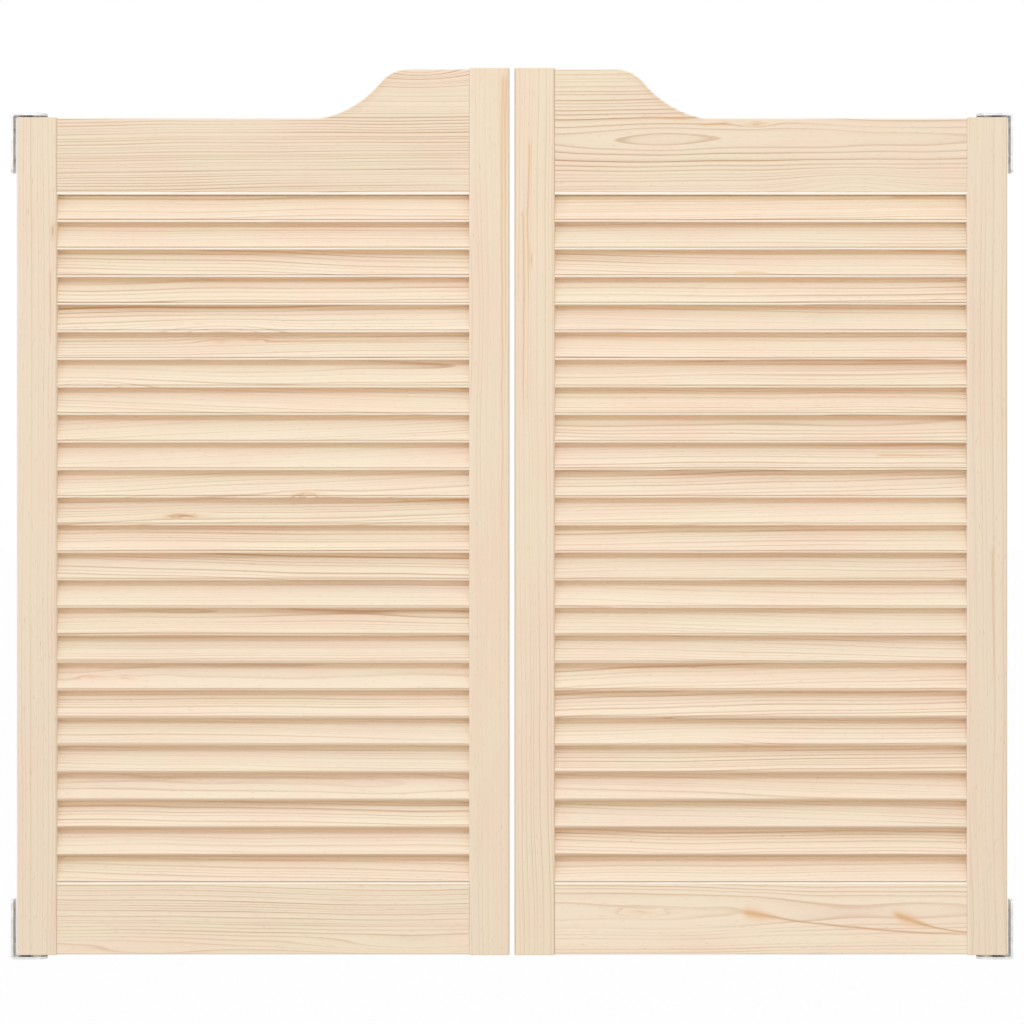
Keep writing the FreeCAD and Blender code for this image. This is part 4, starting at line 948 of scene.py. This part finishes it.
def makeSlat(side, row, low, high, lowest):
    # row 0 is the lowest slat of the leaf; lowest is the height of its nose before it was planed
    look = slatLook
    rows = look["perGroup"] * look["groups"]
    first = row // look["perGroup"] * look["perGroup"] + 1
    node = f"{side}_louvres_{first:02d}_{first + look['perGroup'] - 1:02d}"
    dice = random.Random(row + (look["rightSeed"] if side == "right" else look["seed"]))
    figure = slatFigures.get((side, row), {})
    half = look["thickness"] / 2
    upSlope = Vector((0, math.sin(look["tilt"]), math.cos(look["tilt"])))
    outward = Vector((0, -math.cos(look["tilt"]), math.sin(look["tilt"])))
    nose = Vector((0, low.y + half, lowest + half)) - upSlope * half
    # crisp grows with height: a deeper quirk, more painted highlight on the nose and less painted
    # shade beneath
    crisp = look["quirkAtFoot"] + (1 - look["quirkAtFoot"]) * row / (rows - 1)
    section = slatProfile(crisp)
    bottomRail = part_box(f"{side}_bottom_rail")[1].z + look["planeGap"]
    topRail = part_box(f"{side}_top_rail")[0].z - railLook["lip"] - look["planeGap"]
    rings = []
    for x in spread(low.x, high.x, look["columns"]):
        ring = []
        for up, out, mask in section:
            point = nose + upSlope * up + outward * out
            ring.append(Vector((x, point.y, min(max(point.z, bottomRail), topRail))))
        rings.append(ring)
    # painted warm shade on the upper face, in the shadow of the slat above
    bandShadeSpan = look["bandShadeTo"] - look["bandShadeFrom"]
    masks = {"arris": [mask for ring in rings for up, out, mask in section],
             "paintedBandShade": [clamped((up - look["bandShadeFrom"]) / bandShadeSpan) if out > 0 else 0.0
                        for ring in rings for up, out, mask in section]}
    aside, deep, shift = pithFor(dice, look["pithAside"], look["pithDepth"])
    aside = figure.get("aside", aside / mm) * mm
    deep = figure.get("depth", deep / mm) * mm
    lean = figure.get("lean", dice.uniform(-look["lean"], look["lean"]))
    fine = figure.get("fine", dice.uniform(*look["fine"]))

    def grainOf(point):
        offset = point - nose
        across = offset.dot(upSlope) + aside + lean * (point.x - low.x)
        return point.x + shift, across * fine, (offset.dot(outward) + deep) * fine

    def placeOf(along, up, size):
        spot = nose + upSlope * (up * mm / math.cos(look["tilt"]))
        spot.x = low.x + along * mm
        return (*grainOf(spot)[:2], size * mm * fine)

    board = boardTone(dice, look, look["tone"], look["cool"], figure.get("figure"))
    makeBoard(f"{side}Slat{row + 1:02d}", rings, masks, grainOf, board,
              marksFor(figure, placeOf), pineSlat, f"{side}_leaf", [node])


for number, side in enumerate(("left", "right")):
    for order, kind in enumerate(("hinge_stile", "meeting_stile")):
        makeStile(side, kind, 2 * number + order)
    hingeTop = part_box(f"{side}_hinge_stile")[1].z
    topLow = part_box(f"{side}_top_rail")[0].z
    makeRail(side, "top_rail", 2 * number, hingeTop - railLook["setback"] - topLow)
    makeRail(side, "bottom_rail", 2 * number + 1)
print("stiles and rails made")

for side in ("left", "right"):
    low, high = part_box(f"{side}_louvres_06_10")
    pitch = (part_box(f"{side}_louvres_11_15")[0].z - low.z) / slatLook["perGroup"]
    for row in range(slatLook["perGroup"] * slatLook["groups"]):
        makeSlat(side, row, low, high, low.z + (row - slatLook["perGroup"]) * pitch)
print("slats made")


# metal, nylon and dowels keep their solids
finishes = {"rail_dowels": beech, "bottom_bracket": zincSteel, "top_bracket": zincSteel,
            "spindle": brightSteel, "top_bush": nylon, "bottom_plate": zincSteel,
            "bottom_plate_screws": screwSteel, "pivot_bush": nylon, "spring_barrel": zincSteel,
            "barrel_cap": zincSteel, "torsion_spring": springSteel, "top_plate": zincSteel,
            "top_plate_screws": screwSteel, "top_sleeve": zincSteel, "top_pivot_pin": brightSteel,
            "pin_spring": springSteel}
for side in ("left", "right"):
    for name, finish in finishes.items():
        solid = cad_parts[f"{side}_{name}"]
        for slot in solid.material_slots:
            slot.material = finish
print("hardware finished")


studio = {"floorDrop": 0.35, "floorHalf": 60.0, "floorRough": 0.8,
          "floorShade": (0.75, 0.75, 0.75, 1), "floorGlow": 0.95, "ambient": 0.91,
          "fromLeft": 0.05, "fromAbove": 0.12, "keyPlace": (-0.15, -2.6, 2.17), "keySize": 0.35,
          "keyPower": 16.0}
shot = {"distance": 3.0, "height": 0.454, "frameWidth": 1.0385, "sensor": 36.0}


def buildFloor():
    half = studio["floorHalf"]
    mesh = bpy.data.meshes.new("floor")
    mesh.from_pydata([(-half, -half, 0), (half, -half, 0), (half, half, 0), (-half, half, 0)],
                     [], [(0, 1, 2, 3)])
    floor = newObject("floor", mesh)
    floor.location.z = cadLow.z - studio["floorDrop"]
    material, tree, shader = newMaterial("paleFloor", studio["floorRough"])
    shader.inputs["Base Color"].default_value = studio["floorShade"]
    glow = addNode(tree, "ShaderNodeEmission", {"Color": (1, 1, 1, 1), "Strength": 1.0})
    seen = addNode(tree, "ShaderNodeLightPath").outputs["Is Camera Ray"]
    share = times(tree, seen, studio["floorGlow"])
    both = addNode(tree, "ShaderNodeMixShader", {
        0: share, 1: shader.outputs[0], 2: glow.outputs[0]})
    tree.links.new(both.outputs[0], tree.nodes["Material Output"].inputs["Surface"])
    mesh.materials.append(material)


def buildSky():
    # a white room, a little lighter to the left and overhead, and plain white to the camera
    world = bpy.data.worlds.new("studio")
    world.use_nodes = True
    tree = world.node_tree
    way = axesOf(tree, addNode(tree, "ShaderNodeTexCoord").outputs["Generated"])
    level = timesPlus(tree, way["X"], -studio["fromLeft"], studio["ambient"])
    level = timesPlus(tree, way["Z"], studio["fromAbove"], level)
    seen = addNode(tree, "ShaderNodeLightPath").outputs["Is Camera Ray"]
    level = mapRange(tree, seen, 0, 1, level, 1.0)
    back = tree.nodes["Background"]
    back.inputs["Color"].default_value = (1, 1, 1, 1)
    tree.links.new(level, back.inputs["Strength"])
    bpy.context.scene.world = world


def buildKey():
    lamp = bpy.data.lights.new("key", "AREA")
    lamp.shape = "SQUARE"
    lamp.size = studio["keySize"]
    lamp.energy = studio["keyPower"]
    key = newObject("key", lamp)
    key.location = studio["keyPlace"]
    middle = (cadLow + cadHigh) / 2
    key.rotation_euler = (middle - key.location).to_track_quat("-Z", "Y").to_euler()


def buildCamera():
    lens = bpy.data.cameras.new("camera")
    lens.sensor_width = shot["sensor"]
    lens.lens = shot["sensor"] * shot["distance"] / shot["frameWidth"]
    camera = newObject("camera", lens)
    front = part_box("left_hinge_stile")[0].y
    camera.location = (0, front - shot["distance"], cadLow.z + shot["height"])
    camera.rotation_euler = (math.pi / 2, 0, 0)
    bpy.context.scene.camera = camera


buildFloor()
buildSky()
buildKey()
buildCamera()
bpy.context.scene.view_settings.view_transform = "Standard"
print("studio ready")
